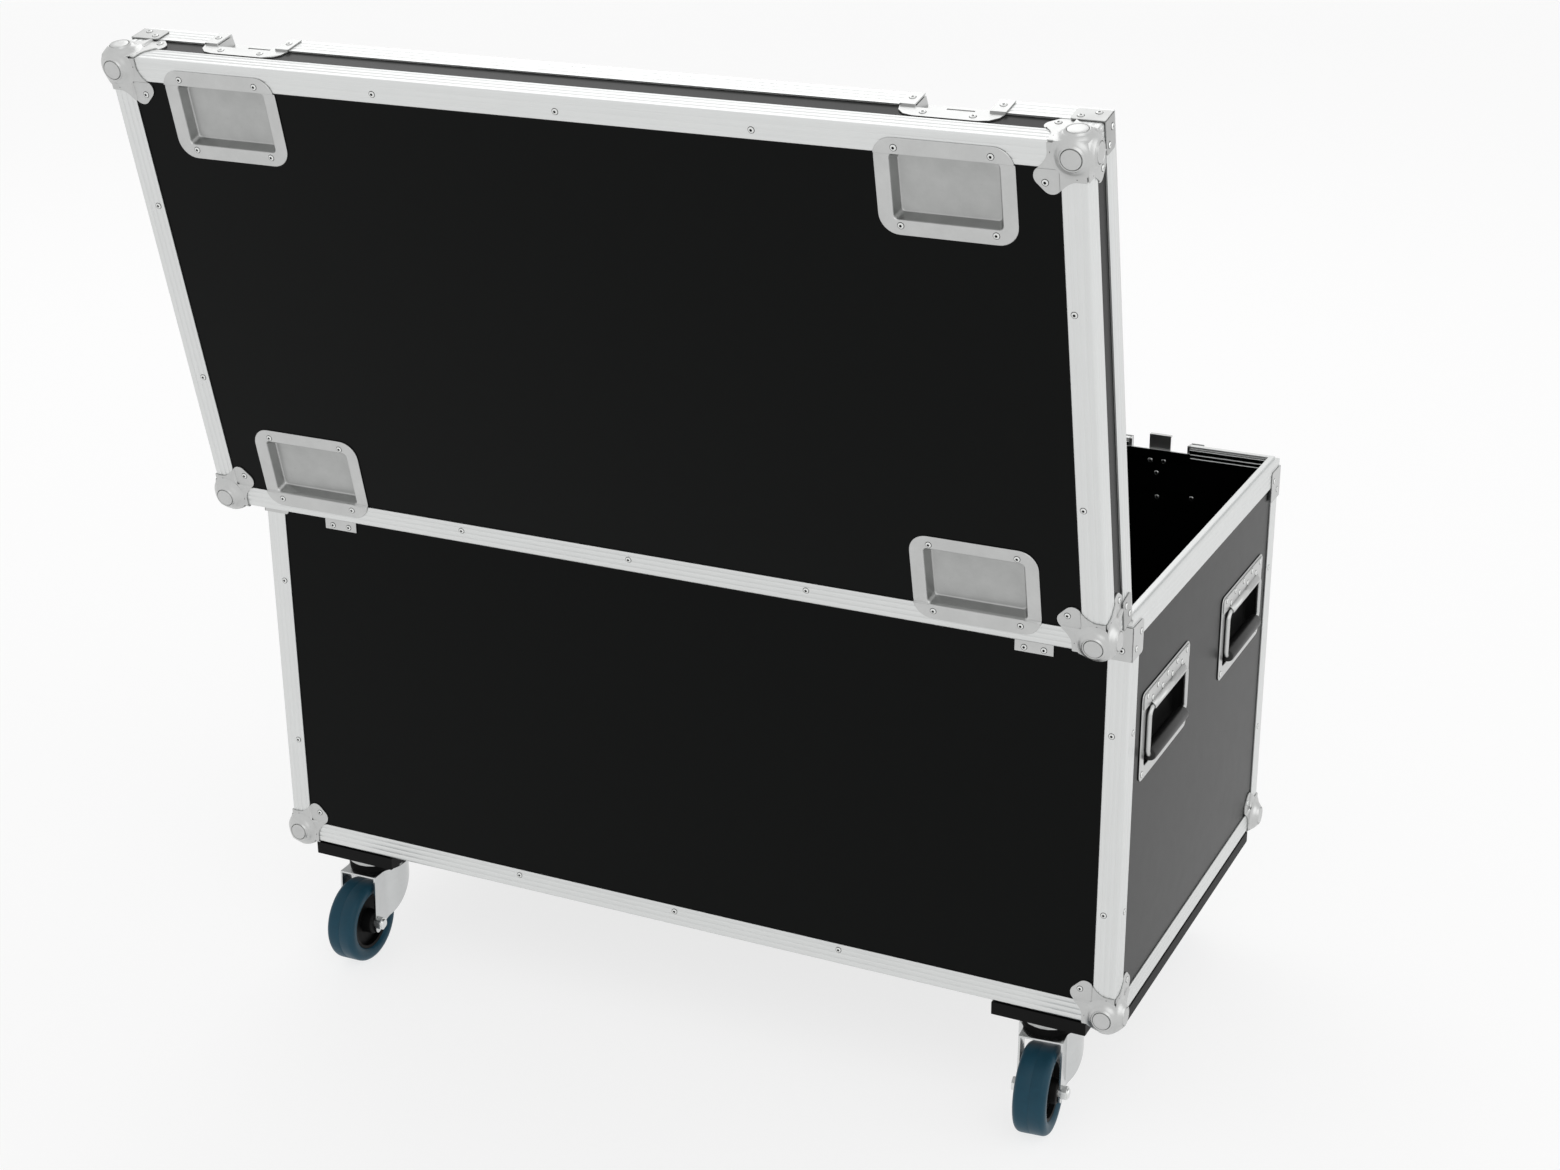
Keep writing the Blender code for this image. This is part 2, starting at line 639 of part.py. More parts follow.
def joggled_plate(name, outline, step, sheet, side):
    """A sheet on two levels: over an aluminium band on one side of a step in Y, and 0 to SKIN + GAP
    lower on the panel on the other. Z = 0 is the band's outer face; side is the band's side in Y."""
    top = GAP + sheet
    low = GAP - FACE
    plate = prism(name, outline, low, top)
    return cut(plate,
               block(name + "_under_band", (-FAR, step, -FAR), (FAR, side * FAR, GAP)),
               block(name + "_over_panel", (-FAR, step - side * sheet, low + sheet),
                     (FAR, -side * FAR, FAR)))


def wheel_dish_mesh():
    """A recess for a castor of a case stacked on top; +Y is the side over the edge profile."""
    half = (DISH_LENGTH / 2, DISH_WIDTH / 2)
    outline = round_rectangle((-half[0], -half[1]), half, DISH_ROUND, DISH_ROUND)
    dish = joggled_plate("wheel_dish_shape", outline, DISH_STEP, SHEET, 1)
    (x0, y0), (x1, y1) = DISH_LOW, DISH_HIGH
    join(dish, tub("dish_tub", (x0 - SHEET, y0 - SHEET, -DISH_DEPTH - SHEET),
                   (x1 + SHEET, y1 + SHEET, GAP - FACE + SHEET / 2), DISH_TAPER, TUB_ROUND + SHEET))
    cut(dish, tub("dish_hollow", (x0, y0, -DISH_DEPTH), (x1, y1, GAP + 2 * SHEET), DISH_TAPER,
                  TUB_ROUND))
    return bake(dish)


def lid_shell(lid):
    """Panel, walls, edge profiles, rim profile and wheel dishes, in the closed lid's own frame."""
    shell_y = -HINGE_OUT - HALF_DEPTH
    panel = nested("lid_panel_shape", FACE, LID_HEIGHT - FACE - PLY, LID_HEIGHT - FACE)
    room = SHEET + GAP
    dish = wheel_dish_mesh()
    for name, (x, y, _) in corner_turns().items():
        place = (x * (HALF_LENGTH - DISH_FROM_END), y * (HALF_DEPTH - DISH_FROM_SIDE))
        cut(panel, block(f"dish_hole_{name}",
                         (place[0] + DISH_LOW[0] - room, place[1] + y * (DISH_LOW[1] - room), -FAR),
                         (place[0] + DISH_HIGH[0] + room, place[1] + y * (DISH_HIGH[1] + room), FAR)))
        piece(f"wheel_dish_{name}", dish, "zinc", lid, (place[0], place[1] + shell_y, LID_HEIGHT),
              (0, 0, 0 if y > 0 else math.pi))
    piece("lid_panel", bake(panel), "laminate", lid, (0, shell_y, 0))
    walls = ring("lid_walls_shape", FACE, PLY_BACK, RIM_WEB + LIP_GAP + GAP,
                 LID_HEIGHT - FACE - PLY - GAP)
    half = LATCH_OPENING / 2 + SHEET + GAP
    for side, place in latch_places().items():
        cut(walls, block(f"lid_notch_{side}", (place - half, -FAR, -FAR),
                         (place + half, 0, LATCH_RECESS_RISE + SHEET + GAP)))
    piece("lid_walls", bake(walls), "laminate", lid, (0, shell_y, 0))
    frame = edge_frame("lid_edge_shape", LID_RIM_BAND + GAP, LID_HEIGHT)
    piece("lid_edge_frame", bake(frame), "aluminium", lid, (0, shell_y, 0))
    rim = nested("lid_rim_shape", 0, LIP_GAP - SHOULDER_DROP, LID_RIM_BAND, EDGE_ROUND)
    cut(rim,
        ring("lid_wall_slot", SKIN, INNER_LEG_FACE, RIM_WEB + LIP_GAP, FAR),
        nested("lid_rim_opening", RIM_DEPTH, -FAR, FAR),
        nested("lid_leg_end", SKIN, RIM_INNER_LEG, FAR),
        nested("tongue_pocket", LIP_WIDTH, -FAR, LIP_GAP))
    notch_rim(rim, "lid")
    piece("lid_rim_profile", bake(rim), "aluminium", lid, (0, shell_y, 0))


def handle_dish_mesh():
    """Flange, recess, cover plate and pivot barrel of a handle; +Z leaves the wall, +Y is up.
    The opening reaches past the pivot, so that the loop's top bar turns clear of the flange."""
    half = (HANDLE_LENGTH / 2, HANDLE_HEIGHT / 2)
    outline = round_rectangle((-half[0], -half[1]), half, HANDLE_ROUND, HANDLE_ROUND)
    face = GAP + HANDLE_SHEET
    dish = prism("handle_dish_shape", outline, GAP, face)
    sheet = HANDLE_SHEET
    x = HANDLE_OPENING[0] / 2
    low = -HANDLE_OPENING_DROP - HANDLE_OPENING[1] / 2
    high = -HANDLE_OPENING_DROP + HANDLE_OPENING[1] / 2
    join(dish, tub("handle_tub", (-x - sheet, low - sheet, -HANDLE_DEPTH - sheet),
                   (x + sheet, high + sheet, face - sheet / 2), DISH_TAPER, TUB_ROUND + sheet))
    cut(dish, tub("handle_hollow", (-x, low, -HANDLE_DEPTH), (x, high, face + sheet), DISH_TAPER,
                  TUB_ROUND))
    barrel = (BAIL_PIVOT_RISE, BAIL_PIVOT_OUT)
    length, cover = BARREL_LENGTH / 2, COVER_LENGTH / 2
    join(dish, block("handle_cover", (-cover, BAIL_PIVOT_RISE, face - sheet / 2),
                     (cover, COVER_TOP, face + sheet)),
         cylinder("handle_barrel", BARREL_RADIUS, (-length, *barrel), (length, *barrel), 16))
    cut(dish, cylinder("handle_barrel_bore", BAIL_RADIUS + GAP, (-FAR, *barrel), (FAR, *barrel), 12))
    return bake(dish)


def handle_bail_mesh():
    """The steel loop with its rubber grip, hanging from the pivot axis along X."""
    loop = bpy.data.curves.new("bail_loop", "CURVE")
    loop.dimensions = "3D"
    loop.bevel_depth = BAIL_RADIUS
    loop.bevel_resolution = 2
    half = BAIL_SPACING / 2
    points = round_rectangle((-half, -BAIL_REACH), (half, 0), BAIL_BEND, BAIL_BEND)
    spline = loop.splines.new("POLY")
    spline.points.add(len(points) - 1)
    for point, (x, y) in zip(spline.points, points):
        point.co = (x, y, 0.0, 1.0)
    spline.use_cyclic_u = True
    bail = from_curve("handle_bail_shape", loop, Matrix.Identity(4))
    length = GRIP_LENGTH / 2
    return bake(join(bail, cylinder("handle_grip", GRIP_RADIUS, (-length, -BAIL_REACH, 0),
                                    (length, -BAIL_REACH, 0), 16)))


def handles(case):
    dish, bail = handle_dish_mesh(), handle_bail_mesh()
    for side, sign in (("left", -1), ("right", 1)):
        turn = (math.pi / 2, 0, sign * math.pi / 2)
        for end, along in handle_places().items():
            place = (sign * (HALF_LENGTH - FACE), along, RIM - HANDLE_BELOW_RIM)
            piece(f"handle_dish_{side}_{end}", dish, "zinc", case, place, turn)
            axis = Vector(place) + Vector((sign * BAIL_PIVOT_OUT, 0, BAIL_PIVOT_RISE))
            piece(f"handle_bail_{side}_{end}", bail, "grip", case, axis, turn)


def latch_dish_mesh():
    """The base half of a latch, open at the rim: +Y is up from the rim, Z = 0 on the outer face."""
    half, x = LATCH_WIDTH / 2, LATCH_OPENING / 2
    outline = round_rectangle((-half, -LATCH_DROP), (half, -GAP), LATCH_ROUND, 0)
    dish = joggled_plate("latch_dish_shape", outline, -BASE_RIM_BAND - GAP, SHEET, 1)
    floor_x = x - LATCH_TAPER
    join(dish, block("latch_tub", (-x - SHEET, -LATCH_RECESS_DROP - SHEET, -PLY_BACK),
                     (x + SHEET, -GAP, GAP - FACE + SHEET / 2)))
    cut(dish,
        tub("latch_hollow", (-x, -LATCH_RECESS_DROP, -LATCH_FLOOR),
            (x, LATCH_RECESS_DROP, GAP + 2 * SHEET), LATCH_TAPER, 0),
        block("latch_floor_end", (-floor_x, -LATCH_FLOOR_TOP, -FAR), (floor_x, FAR, 0)))
    return bake(dish)


def latch_keeper_mesh():
    """The lid half of a latch, with the slot that the hook catches, in the same frame."""
    half, x = LATCH_WIDTH / 2, LATCH_OPENING / 2
    outline = round_rectangle((-half, LIP_GAP), (half, LATCH_RISE), 0, LATCH_ROUND)
    keeper = joggled_plate("latch_keeper_shape", outline, LID_RIM_BAND + GAP, SHEET, -1)
    join(keeper, block("keeper_tub", (-x - SHEET, LIP_GAP, -PLY_BACK),
                       (x + SHEET, LATCH_RECESS_RISE + SHEET, GAP - FACE + SHEET / 2)))
    cut(keeper,
        tub("keeper_hollow", (-x, -LATCH_RECESS_RISE, -LATCH_FLOOR),
            (x, LATCH_RECESS_RISE, GAP + 2 * SHEET), LATCH_TAPER, 0),
        block("keeper_slot", (-SLOT_WIDTH / 2, SLOT_RISE - SLOT_HEIGHT / 2, -FAR),
              (SLOT_WIDTH / 2, SLOT_RISE + SLOT_HEIGHT / 2, 0)))
    return bake(keeper)


def latch_hook_mesh():
    """The sliding hook plate, which stands above the rim with a lip along its top."""
    half, back = HOOK_WIDTH / 2, GAP - LATCH_FLOOR
    low = -SPINDLE_DROP + SPINDLE_SHAFT + 2 * GAP
    hook = block("latch_hook_shape", (-half, low, back), (half, HOOK_TOP, back + HOOK_THICKNESS))
    lip = block("hook_lip", (-half, HOOK_TOP - HOOK_LIP_HEIGHT, back),
                (half, HOOK_TOP, back + HOOK_THICKNESS + HOOK_LIP))
    return bake(join(hook, lip))


def latch_spindle_mesh():
    """The turning disc, its shaft and the two ears that carry the wing, from the turning axis."""
    back = 2 * GAP - LATCH_FLOOR + HOOK_THICKNESS
    front = back + SPINDLE_DISC
    disc = cylinder("latch_spindle_shape", SPINDLE_RADIUS, (0, 0, back), (0, 0, front), 28)
    join(disc, cylinder("spindle_shaft", SPINDLE_SHAFT, (0, 0, GAP - LATCH_FLOOR),
                        (0, 0, back + SPINDLE_DISC / 2), 12))
    near = WING_TAB + GAP
    for sign in (-1, 1):
        join(disc, block(f"wing_ear_{sign}", (sign * near, -EAR_REACH, front - SPINDLE_DISC / 2),
                         (sign * (near + EAR_WIDTH), EAR_REACH, -GAP)))
    cut(disc, cylinder("wing_pin_hole", WING_PIN + GAP, (-FAR, 0, -WING_AXIS_OUT),
                       (FAR, 0, -WING_AXIS_OUT), 12))
    return bake(disc)


def latch_wing_mesh():
    """The folding grip plate, half a disc that hangs from its pin along X."""
    root = -EAR_REACH - 3 * GAP
    start = math.degrees(math.asin(-root / WING_RADIUS))
    outline = arc((0, 0), WING_RADIUS, 180 + start, 360 - start, 12)
    outline += [(WING_TAB, root), (WING_TAB, WING_SHEET / 2),
                (-WING_TAB, WING_SHEET / 2), (-WING_TAB, root)]
    wing = prism("latch_wing_shape", outline, -WING_SHEET / 2, WING_SHEET / 2)
    reach = WING_TAB + GAP + PIN_IN_EAR
    return bake(join(wing, cylinder("wing_pin", WING_PIN, (-reach, 0, 0), (reach, 0, 0), 8)))


def latches(case, lid):
    dish, keeper, hook = latch_dish_mesh(), latch_keeper_mesh(), latch_hook_mesh()
    spindle, wing = latch_spindle_mesh(), latch_wing_mesh()
    stand = (math.pi / 2, 0, 0)
    for side, x in latch_places().items():
        piece(f"latch_dish_{side}", dish, "zinc", case, (x, -HALF_DEPTH, RIM), stand)
        piece(f"latch_keeper_{side}", keeper, "zinc", lid, (x, -HINGE_OUT - DEPTH, 0), stand)
        piece(f"latch_hook_{side}", hook, "zinc", case, (x, -HALF_DEPTH, RIM), stand)
        turn = pivot(f"latch_turn_{side}", (x, -HALF_DEPTH, RIM - SPINDLE_DROP), stand, case)
        piece(f"latch_spindle_{side}", spindle, "zinc", turn)
        piece(f"latch_wing_{side}", wing, "zinc", turn, (0, 0, -WING_AXIS_OUT))


def hinge_leaf_mesh(name, up, length, band, knuckles):
    """A leaf from the hinge axis, which lies along X: down the rear face, or up it on the lid."""
    near = GAP - HINGE_OUT
    far, inner = near + LEAF_SHEET, near - FACE
    step = band + GAP
    outline = [(near, LEAF_START), (near, step), (inner, step), (inner, length),
               (inner + LEAF_SHEET, length), (inner + LEAF_SHEET, step + LEAF_SHEET),
               (far, step + LEAF_SHEET), (far, LEAF_START)]
    sideways = Matrix(((0, 0, 1, 0), (1, 0, 0, 0), (0, up, 0, 0), (0, 0, 0, 1)))
    leaf = prism(name, outline, -HINGE_WIDTH / 2, HINGE_WIDTH / 2, sideways)
    for i, (start, end) in enumerate(knuckles):
        join(leaf,
             block(f"{name}_neck_{i}", (start, near, 0), (end, far, up * (LEAF_START + LEAF_SHEET))),
             cylinder(f"{name}_knuckle_{i}", KNUCKLE_RADIUS, (start, 0, 0), (end, 0, 0), 14))
    return leaf


def hinges(case, lid):
    middle, end = KNUCKLE_LENGTH / 2, HINGE_WIDTH / 2
    outer = [(-end, -middle - GAP), (middle + GAP, end)]
    base_leaf = hinge_leaf_mesh("base_leaf_shape", -1, BASE_LEAF_DROP, BASE_RIM_BAND, outer)
    join(base_leaf, cylinder("hinge_pin", PIN_RADIUS, (-end + GAP, 0, 0), (end - GAP, 0, 0), 12))
    lid_leaf = hinge_leaf_mesh("lid_leaf_shape", 1, LID_LEAF_RISE, LID_RIM_BAND, [(-middle, middle)])
    cut(lid_leaf, cylinder("hinge_pin_hole", PIN_RADIUS + GAP, (-FAR, 0, 0), (FAR, 0, 0), 12))
    base_leaf, lid_leaf = bake(base_leaf), bake(lid_leaf)
    for side, sign in (("left", -1), ("right", 1)):
        x = sign * (HALF_LENGTH - HINGE_FROM_END)
        piece(f"hinge_base_leaf_{side}", base_leaf, "zinc", case, (x, HALF_DEPTH + HINGE_OUT, RIM))
        piece(f"hinge_lid_leaf_{side}", lid_leaf, "zinc", lid, (x, 0, 0))


def main():
    for obj in list(bpy.data.objects):
        bpy.data.objects.remove(obj)
    make_collection("flight_case")
    make_collection("flight_case_cutters").hide_render = True
    case = pivot("case_origin", (0, CASE_Y, 0), (0, 0, 0), None)
    lid = pivot("lid_hinge", (0, HALF_DEPTH + HINGE_OUT, RIM), (-LID_OPEN_ANGLE, 0, 0), case)
    base_panels(case)
    base_profiles(case)
    ball_corners(case, lid)
    castor_boards(case)
    castors(case)
    lid_shell(lid)
    handles(case)
    latches(case, lid)
    hinges(case, lid)


main()
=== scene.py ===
"""Wheeled flight case with its lid open, dressed on its CAD frame.

Units are metres. Each wall has a frame on its outer face: X runs along the wall, Y is up and Z leaves
the case. In a cross-section, the first number is how far a point lies in from that face and the
second how far it lies up."""

import json
import math

import bmesh
import bpy
from mathutils import Matrix, Vector

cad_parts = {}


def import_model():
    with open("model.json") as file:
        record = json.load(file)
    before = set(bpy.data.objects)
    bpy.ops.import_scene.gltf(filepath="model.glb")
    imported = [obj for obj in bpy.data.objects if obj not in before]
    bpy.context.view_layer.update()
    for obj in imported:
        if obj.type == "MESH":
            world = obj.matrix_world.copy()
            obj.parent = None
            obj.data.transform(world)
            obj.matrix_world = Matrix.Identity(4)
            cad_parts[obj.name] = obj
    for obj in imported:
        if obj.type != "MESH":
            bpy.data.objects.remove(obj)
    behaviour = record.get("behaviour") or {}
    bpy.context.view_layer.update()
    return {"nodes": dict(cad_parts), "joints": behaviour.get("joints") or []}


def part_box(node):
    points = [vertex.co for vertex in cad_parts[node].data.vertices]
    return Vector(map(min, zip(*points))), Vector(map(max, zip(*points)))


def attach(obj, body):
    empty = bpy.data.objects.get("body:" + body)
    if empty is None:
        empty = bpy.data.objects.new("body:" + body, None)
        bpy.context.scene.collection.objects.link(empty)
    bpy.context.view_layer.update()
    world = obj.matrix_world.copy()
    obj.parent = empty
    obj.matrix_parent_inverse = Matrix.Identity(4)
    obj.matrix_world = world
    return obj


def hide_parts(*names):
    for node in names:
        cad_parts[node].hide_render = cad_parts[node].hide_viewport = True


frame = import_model()

# Sheet and clearances, as in the frame
GAP = 0.0003
SHEET = 0.0012
SKIN = 0.0017
FACE = 0.0020

# Distances below which points or faces count as one
TOUCHING = 0.000001
CAD_WELD = 0.00001
SEAM_WELD = 0.00002
SAME_PLANE = 0.00005

# Angles in degrees above which an edge is sharp, or is rounded
SHARP_ANGLE = 38
BEVEL_ANGLE = 35

# Widths of rounded edges
BOARD_EDGE = 0.0008
FORK_EDGE = 0.0006
STEEL_EDGE = 0.0005
BRACE_EDGE = 0.0004
FINE_EDGE = 0.0003

# Aluminium profiles
BAND = 0.025
EDGE_ROUND = 0.0025
EDGE_TIP = 0.0006
GROOVE_STEP = 0.0062
GROOVE_WIDTH = 0.0005
GROOVE_DEPTH = 0.00012
BASE_RIM_BAND = 0.030
LID_RIM_BAND = 0.0244
RIM_ROUND = 0.0012
RIM_ROUND_MIDDLE = 0.0004
RIM_SHOULDER = 0.003
LIP_GAP = 0.0004
LIP_WIDTH = 0.0038
RIM_WEB = 0.006
RIM_LEG = (0.0113, 0.0128)
RIM_LEG_END = 0.018
TONGUE = (0.0045, 0.0110)
TONGUE_EDGE = 0.0006
INNER_RIDGES = (0.0045, 0.0100, 0.0147)
RIDGE_HALF = 0.0008
RIDGE_HEIGHT = 0.0006
LATCH_NOTCH = 0.0375
LATCH_FLOOR_TOP = 0.0095

# Ball corners
BALL_RADIUS = 0.0225
BALL_INSET = 0.0115
BALL_FLAT = 0.021
COIN_SUNK = 0.0004
# How far out each ring of the coin on a flat lies, and how far it is raised
COIN_RINGS = ((0.0, 0.0), (0.0045, 0.0), (0.0086, 0.0), (0.0094, -0.0001), (0.0099, -0.0012),
              (0.0104, 0.0001), (0.0111, 0.0008), (0.0119, 0.0004), (0.0126, -0.0002), (0.0133, 0.0))
DOME_STEPS = 72
DOME_RINGS = 14
DOME_FOOT = 0.0045
DOME_FLARE = 0.0030
LEG_REACH = 0.036
LEG_SIDE = 0.009
LOBE_REACH = 0.0622
LOBE_WIDTH = 0.029
LOBE_ROUND = 0.0095
LOBE_NECK = 0.046
LOBE_RIVET = 0.0395
LEG_DOT = (0.0095, 0.0325)
PLATE_RAMP = 0.0016

# Pressed dishes; a SHADED pair counts the bands between rings, in from the flange's edge, which with the
# floor take a darker material as painted shade in the recess
SOFT_EDGE = 0.0004
FOOT_INSIDE = 0.7
DISH_ROUND = 0.020
DISH_RIM = 0.015
DISH_DEPTH = 0.012
DISH_TAPER = 0.004
DISH_LIP = 0.0022
DISH_FOOT = 0.0016
DISH_CORNER = 0.0045
DISH_RAMP = 0.0012
DISH_SHADED = (7, 12)
DISH_STEP_FROM_EDGE = BAND + GAP
DISH_RIVETS = (0.046, 0.0385)

# Handles
HANDLE_ROUND = 0.008
HANDLE_OPENING = (0.066, 0.0345)
HANDLE_OPENING_DROP = 0.0025
HANDLE_DEPTH = 0.012
HANDLE_LIP = 0.0018
HANDLE_FOOT = 0.003
HANDLE_CORNER = 0.006
HANDLE_SHADED = (6, 12)
BAIL_RADIUS = 0.0029
BAIL_BEND = 0.009
GRIP_RADIUS = 0.0078
GRIP_HALF = 0.058
GRIP_EASE = (0.003, 0.0008)
COVER_HALF = 0.0765
COVER_RISE = (0.0308, 0.0480)
COVER_ROUND = 0.003
COVER_RIVETS = 9
COVER_PITCH = 0.0165
COVER_ROWS = (0.0040, 0.0050)
FLANGE_RIVET = (0.072, -0.043)
CURL_HALF = 0.053
CURL_RADIUS = 0.0040
CURL_ARC = (35, 120)
CURL_OVERLAP = 0.002
CURL_SHEET = 0.0009

# Rim corner braces and the plates behind the latches
BRACE_LEG = 0.032
BRACE_ROUND = 0.004
BASE_BRACE = (-0.049, -0.012)
LID_BRACE = (0.004, 0.027)
# How far each rivet lies from the corner, and its share of the brace's height
BRACE_RIVETS = ((0.010, 0.30), (0.024, 0.68))
BACKING_HALF = 0.0388
BACKING_DROP = (-0.0605, -0.0095)
BACKING_DEPTH = 0.0130
BACKING_STEP = 0.0017
BACKING_BENDS = (-0.0190, -0.0205)
BACKING_BEND_SHIFT = 0.0005
# Each rivet's place along the plate, its rise and its depth
BACKING_RIVETS = ((-0.0100, -0.0235, 0.0125), (0.0064, -0.0229, 0.0125), (-0.0018, -0.0382, 0.0125),
                  (0.0, -0.0690, 0.0110), (0.0420, -0.0650, 0.0110))

# Latches and hinges; a latch rivet has its share of LATCH_RIVET_X, its rise and its drop
LATCH_RIVET_X = 0.0435
BASE_LATCH_RIVETS = ((1.0, -0.0120, 0.0), (0.62, -0.0655, FACE))
LID_LATCH_RIVETS = ((1.0, 0.0120, 0.0), (0.55, 0.0365, FACE))
LEAF_SHEET = 0.0015
LEAF_RIVET_X = 0.0107
LEAF_RIVET_RISE = {"base": -0.0530, "lid": 0.0400}

# Castors
WHEEL_RADIUS = 0.050
TREAD_WIDTH = 0.037
TREAD_SHOULDER = 0.007
TREAD_LINE = (0.0008, 0.0004)
TYRE_INNER = 0.034
# The tyre's side: how far each point lies out from the bore and in from the side
TYRE_SIDE = ((0.0040, 0.0004), (0.0010, 0.0030), (0.0, 0.0045))
HUB_WIDTH = 0.0433
HUB_RADIUS = 0.014
HUB_EDGE = 0.001
HUB_SEAT = 0.0002
HUB_RIM_HALF = 0.0150
HUB_RIM_EDGE = (0.0035, 0.0145)
HUB_WEB = (0.0045, 0.0085)
AXLE_RADIUS = 0.006
TRAIL = 0.038
FORK_INNER = 0.0445
FORK_SHEET = 0.0025
FORK_CROWN = 0.002
FORK_TOP = 0.111
FORK_FRONT = 0.0385
FORK_TOE = (0.0378, 0.042)
FORK_TOE_RADIUS = 0.0055
FORK_TOE_ARC = (4, -110)
FORK_HOLLOW = (0.010, 0.046)
FORK_TAIL = (-0.032, 0.098)
FORK_SKIRT = 0.036
FORK_SKIRT_BACK = 0.009
FORK_SKIRT_DEPTH = 0.007
FORK_BEND = 0.005
RACE_RADIUS = 0.030
RACE_SUNK = 0.001
RACE_EDGE = 0.0012
RACE_SHOULDER = (0.0030, 0.0045)
LOWER_RACE_TOP = 0.1184
NUT_RADIUS = 0.0085
NUT_HEIGHT = 0.007
BOLT_HEAD = 0.005
BOLT_END = 0.002
BOLT_CHAMFER = 0.001

# Rivets; the dome, the hole's lip and the stem are given as shares of the radii and the height
RIVET_STEPS = 14
RIVET_RADIUS = 0.0031
RIVET_HEIGHT = 0.0010
RIVET_DOME = ((1.0, 0.0), (0.95, 0.45), (0.72, 0.88), (0.45, 1.0))
RIVET_HOLE = 0.0014
HOLE_LIP = 0.92
STEM_TAPER = 0.9
STEM_HEIGHTS = (0.31, 0.3)
# The ring of painted shadow round each rivet's foot: how far its inner and outer edges lie from the
# rivet's radius, and its height
RIVET_SHADOW_RING = (-0.0002, 0.0004)
RIVET_SHADOW_HEIGHT = 0.00012
DOT_PROFILE = ((0.0011, 0.0), (0.0009, 0.00015), (0.0, 0.0001))

# Rivets along the edge profiles, placed from the middle, the outer faces, the underside or the rim
LONG_RIVETS = (-0.205, 0.0, 0.205)
LID_REAR_RIVET = 0.016
LID_FRONT_RIVET = 0.0155
LID_END_RIVET_X = 0.507
LID_END_RIVETS = (0.369, 0.163)
FOOT_RIVET_RISE = 0.018
POST_RIVET = 0.017
POST_RIVET_DROPS = (0.134, 0.340)

# Floor and world
FLOOR_HALF = 12.0
FLOOR_GREY = 0.25
FLOOR_ROUGHNESS = 0.9
FLOOR_GLOW = 0.765
BACKDROP_GREY = 0.96
SOFT_LIGHT = 0.55

# Lamps: place, aim, size and power in watts
LAMPS = {"key": ((-2.5, 2.6, 3.4), (0, 0, 0.5), 3.4, 24.0),
         "side": ((-3.4, -0.6, 1.6), (0, 0, 0.4), 2.4, 14.0),
         "beyond": ((1.8, -2.8, 3.6), (0, 0, 0.9), 3.0, 30.0)}

# Camera: lens and sensor in millimetres, place from the case's middle, roll in degrees
LENS = 59.0
SENSOR = 36.0
VIEW_END = 50.0
EYE = (-1.2282, 2.5158, 1.5990)
LOOK = (0.4048, -0.8340, -0.3748)
ROLL = -0.485

STAND = Matrix.Rotation(math.pi / 2, 4, "X")
FLAT = Matrix.Identity(4)


def joint(name):
    return next(found for found in frame["joints"] if found["name"] == name)


edge_low, edge_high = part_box("base_edge_frame")
HALF_LENGTH = (edge_high.x - edge_low.x) / 2
HALF_DEPTH = (edge_high.y - edge_low.y) / 2
CASE_Y = (edge_high.y + edge_low.y) / 2
UNDERSIDE = edge_low.z
HINGE = joint("lid_hinge")
RIM = HINGE["pos_m"][2]
HINGE_OUT = HINGE["pos_m"][1] - CASE_Y - HALF_DEPTH
CASE = Matrix.Translation((0, CASE_Y, 0))
LID = (Matrix.Translation(HINGE["pos_m"])
       @ Matrix.Rotation(math.radians(HINGE["range_deg"][0]), 4, "X")
       @ Matrix.Translation((0, -HINGE_OUT - HALF_DEPTH, 0)))


def span(node, place):
    """Lowest and highest corner of a CAD node in a frame."""
    back = place.inverted()
    points = [back @ vertex.co for vertex in frame["nodes"][node].data.vertices]
    return (Vector(min(p[i] for p in points) for i in range(3)),
            Vector(max(p[i] for p in points) for i in range(3)))


LID_HEIGHT = span("lid_edge_frame", LID)[1].z


def wall(home, quarter, rise):
    """The frame on one wall's outer face; quarter 0 is the latch wall, then anticlockwise from above."""
    reach = HALF_LENGTH if quarter % 2 else HALF_DEPTH
    return (home @ Matrix.Rotation(quarter * math.pi / 2, 4, "Z")
            @ Matrix.Translation((0, -reach, rise)) @ STAND)


def wall_half(quarter):
    return HALF_DEPTH if quarter % 2 else HALF_LENGTH


# Materials

STREAK_DETAIL = 4.0
PATCH_DETAIL = 3.0
PATCH_SCALE = 38.0
BUMP_STRENGTH = 0.6


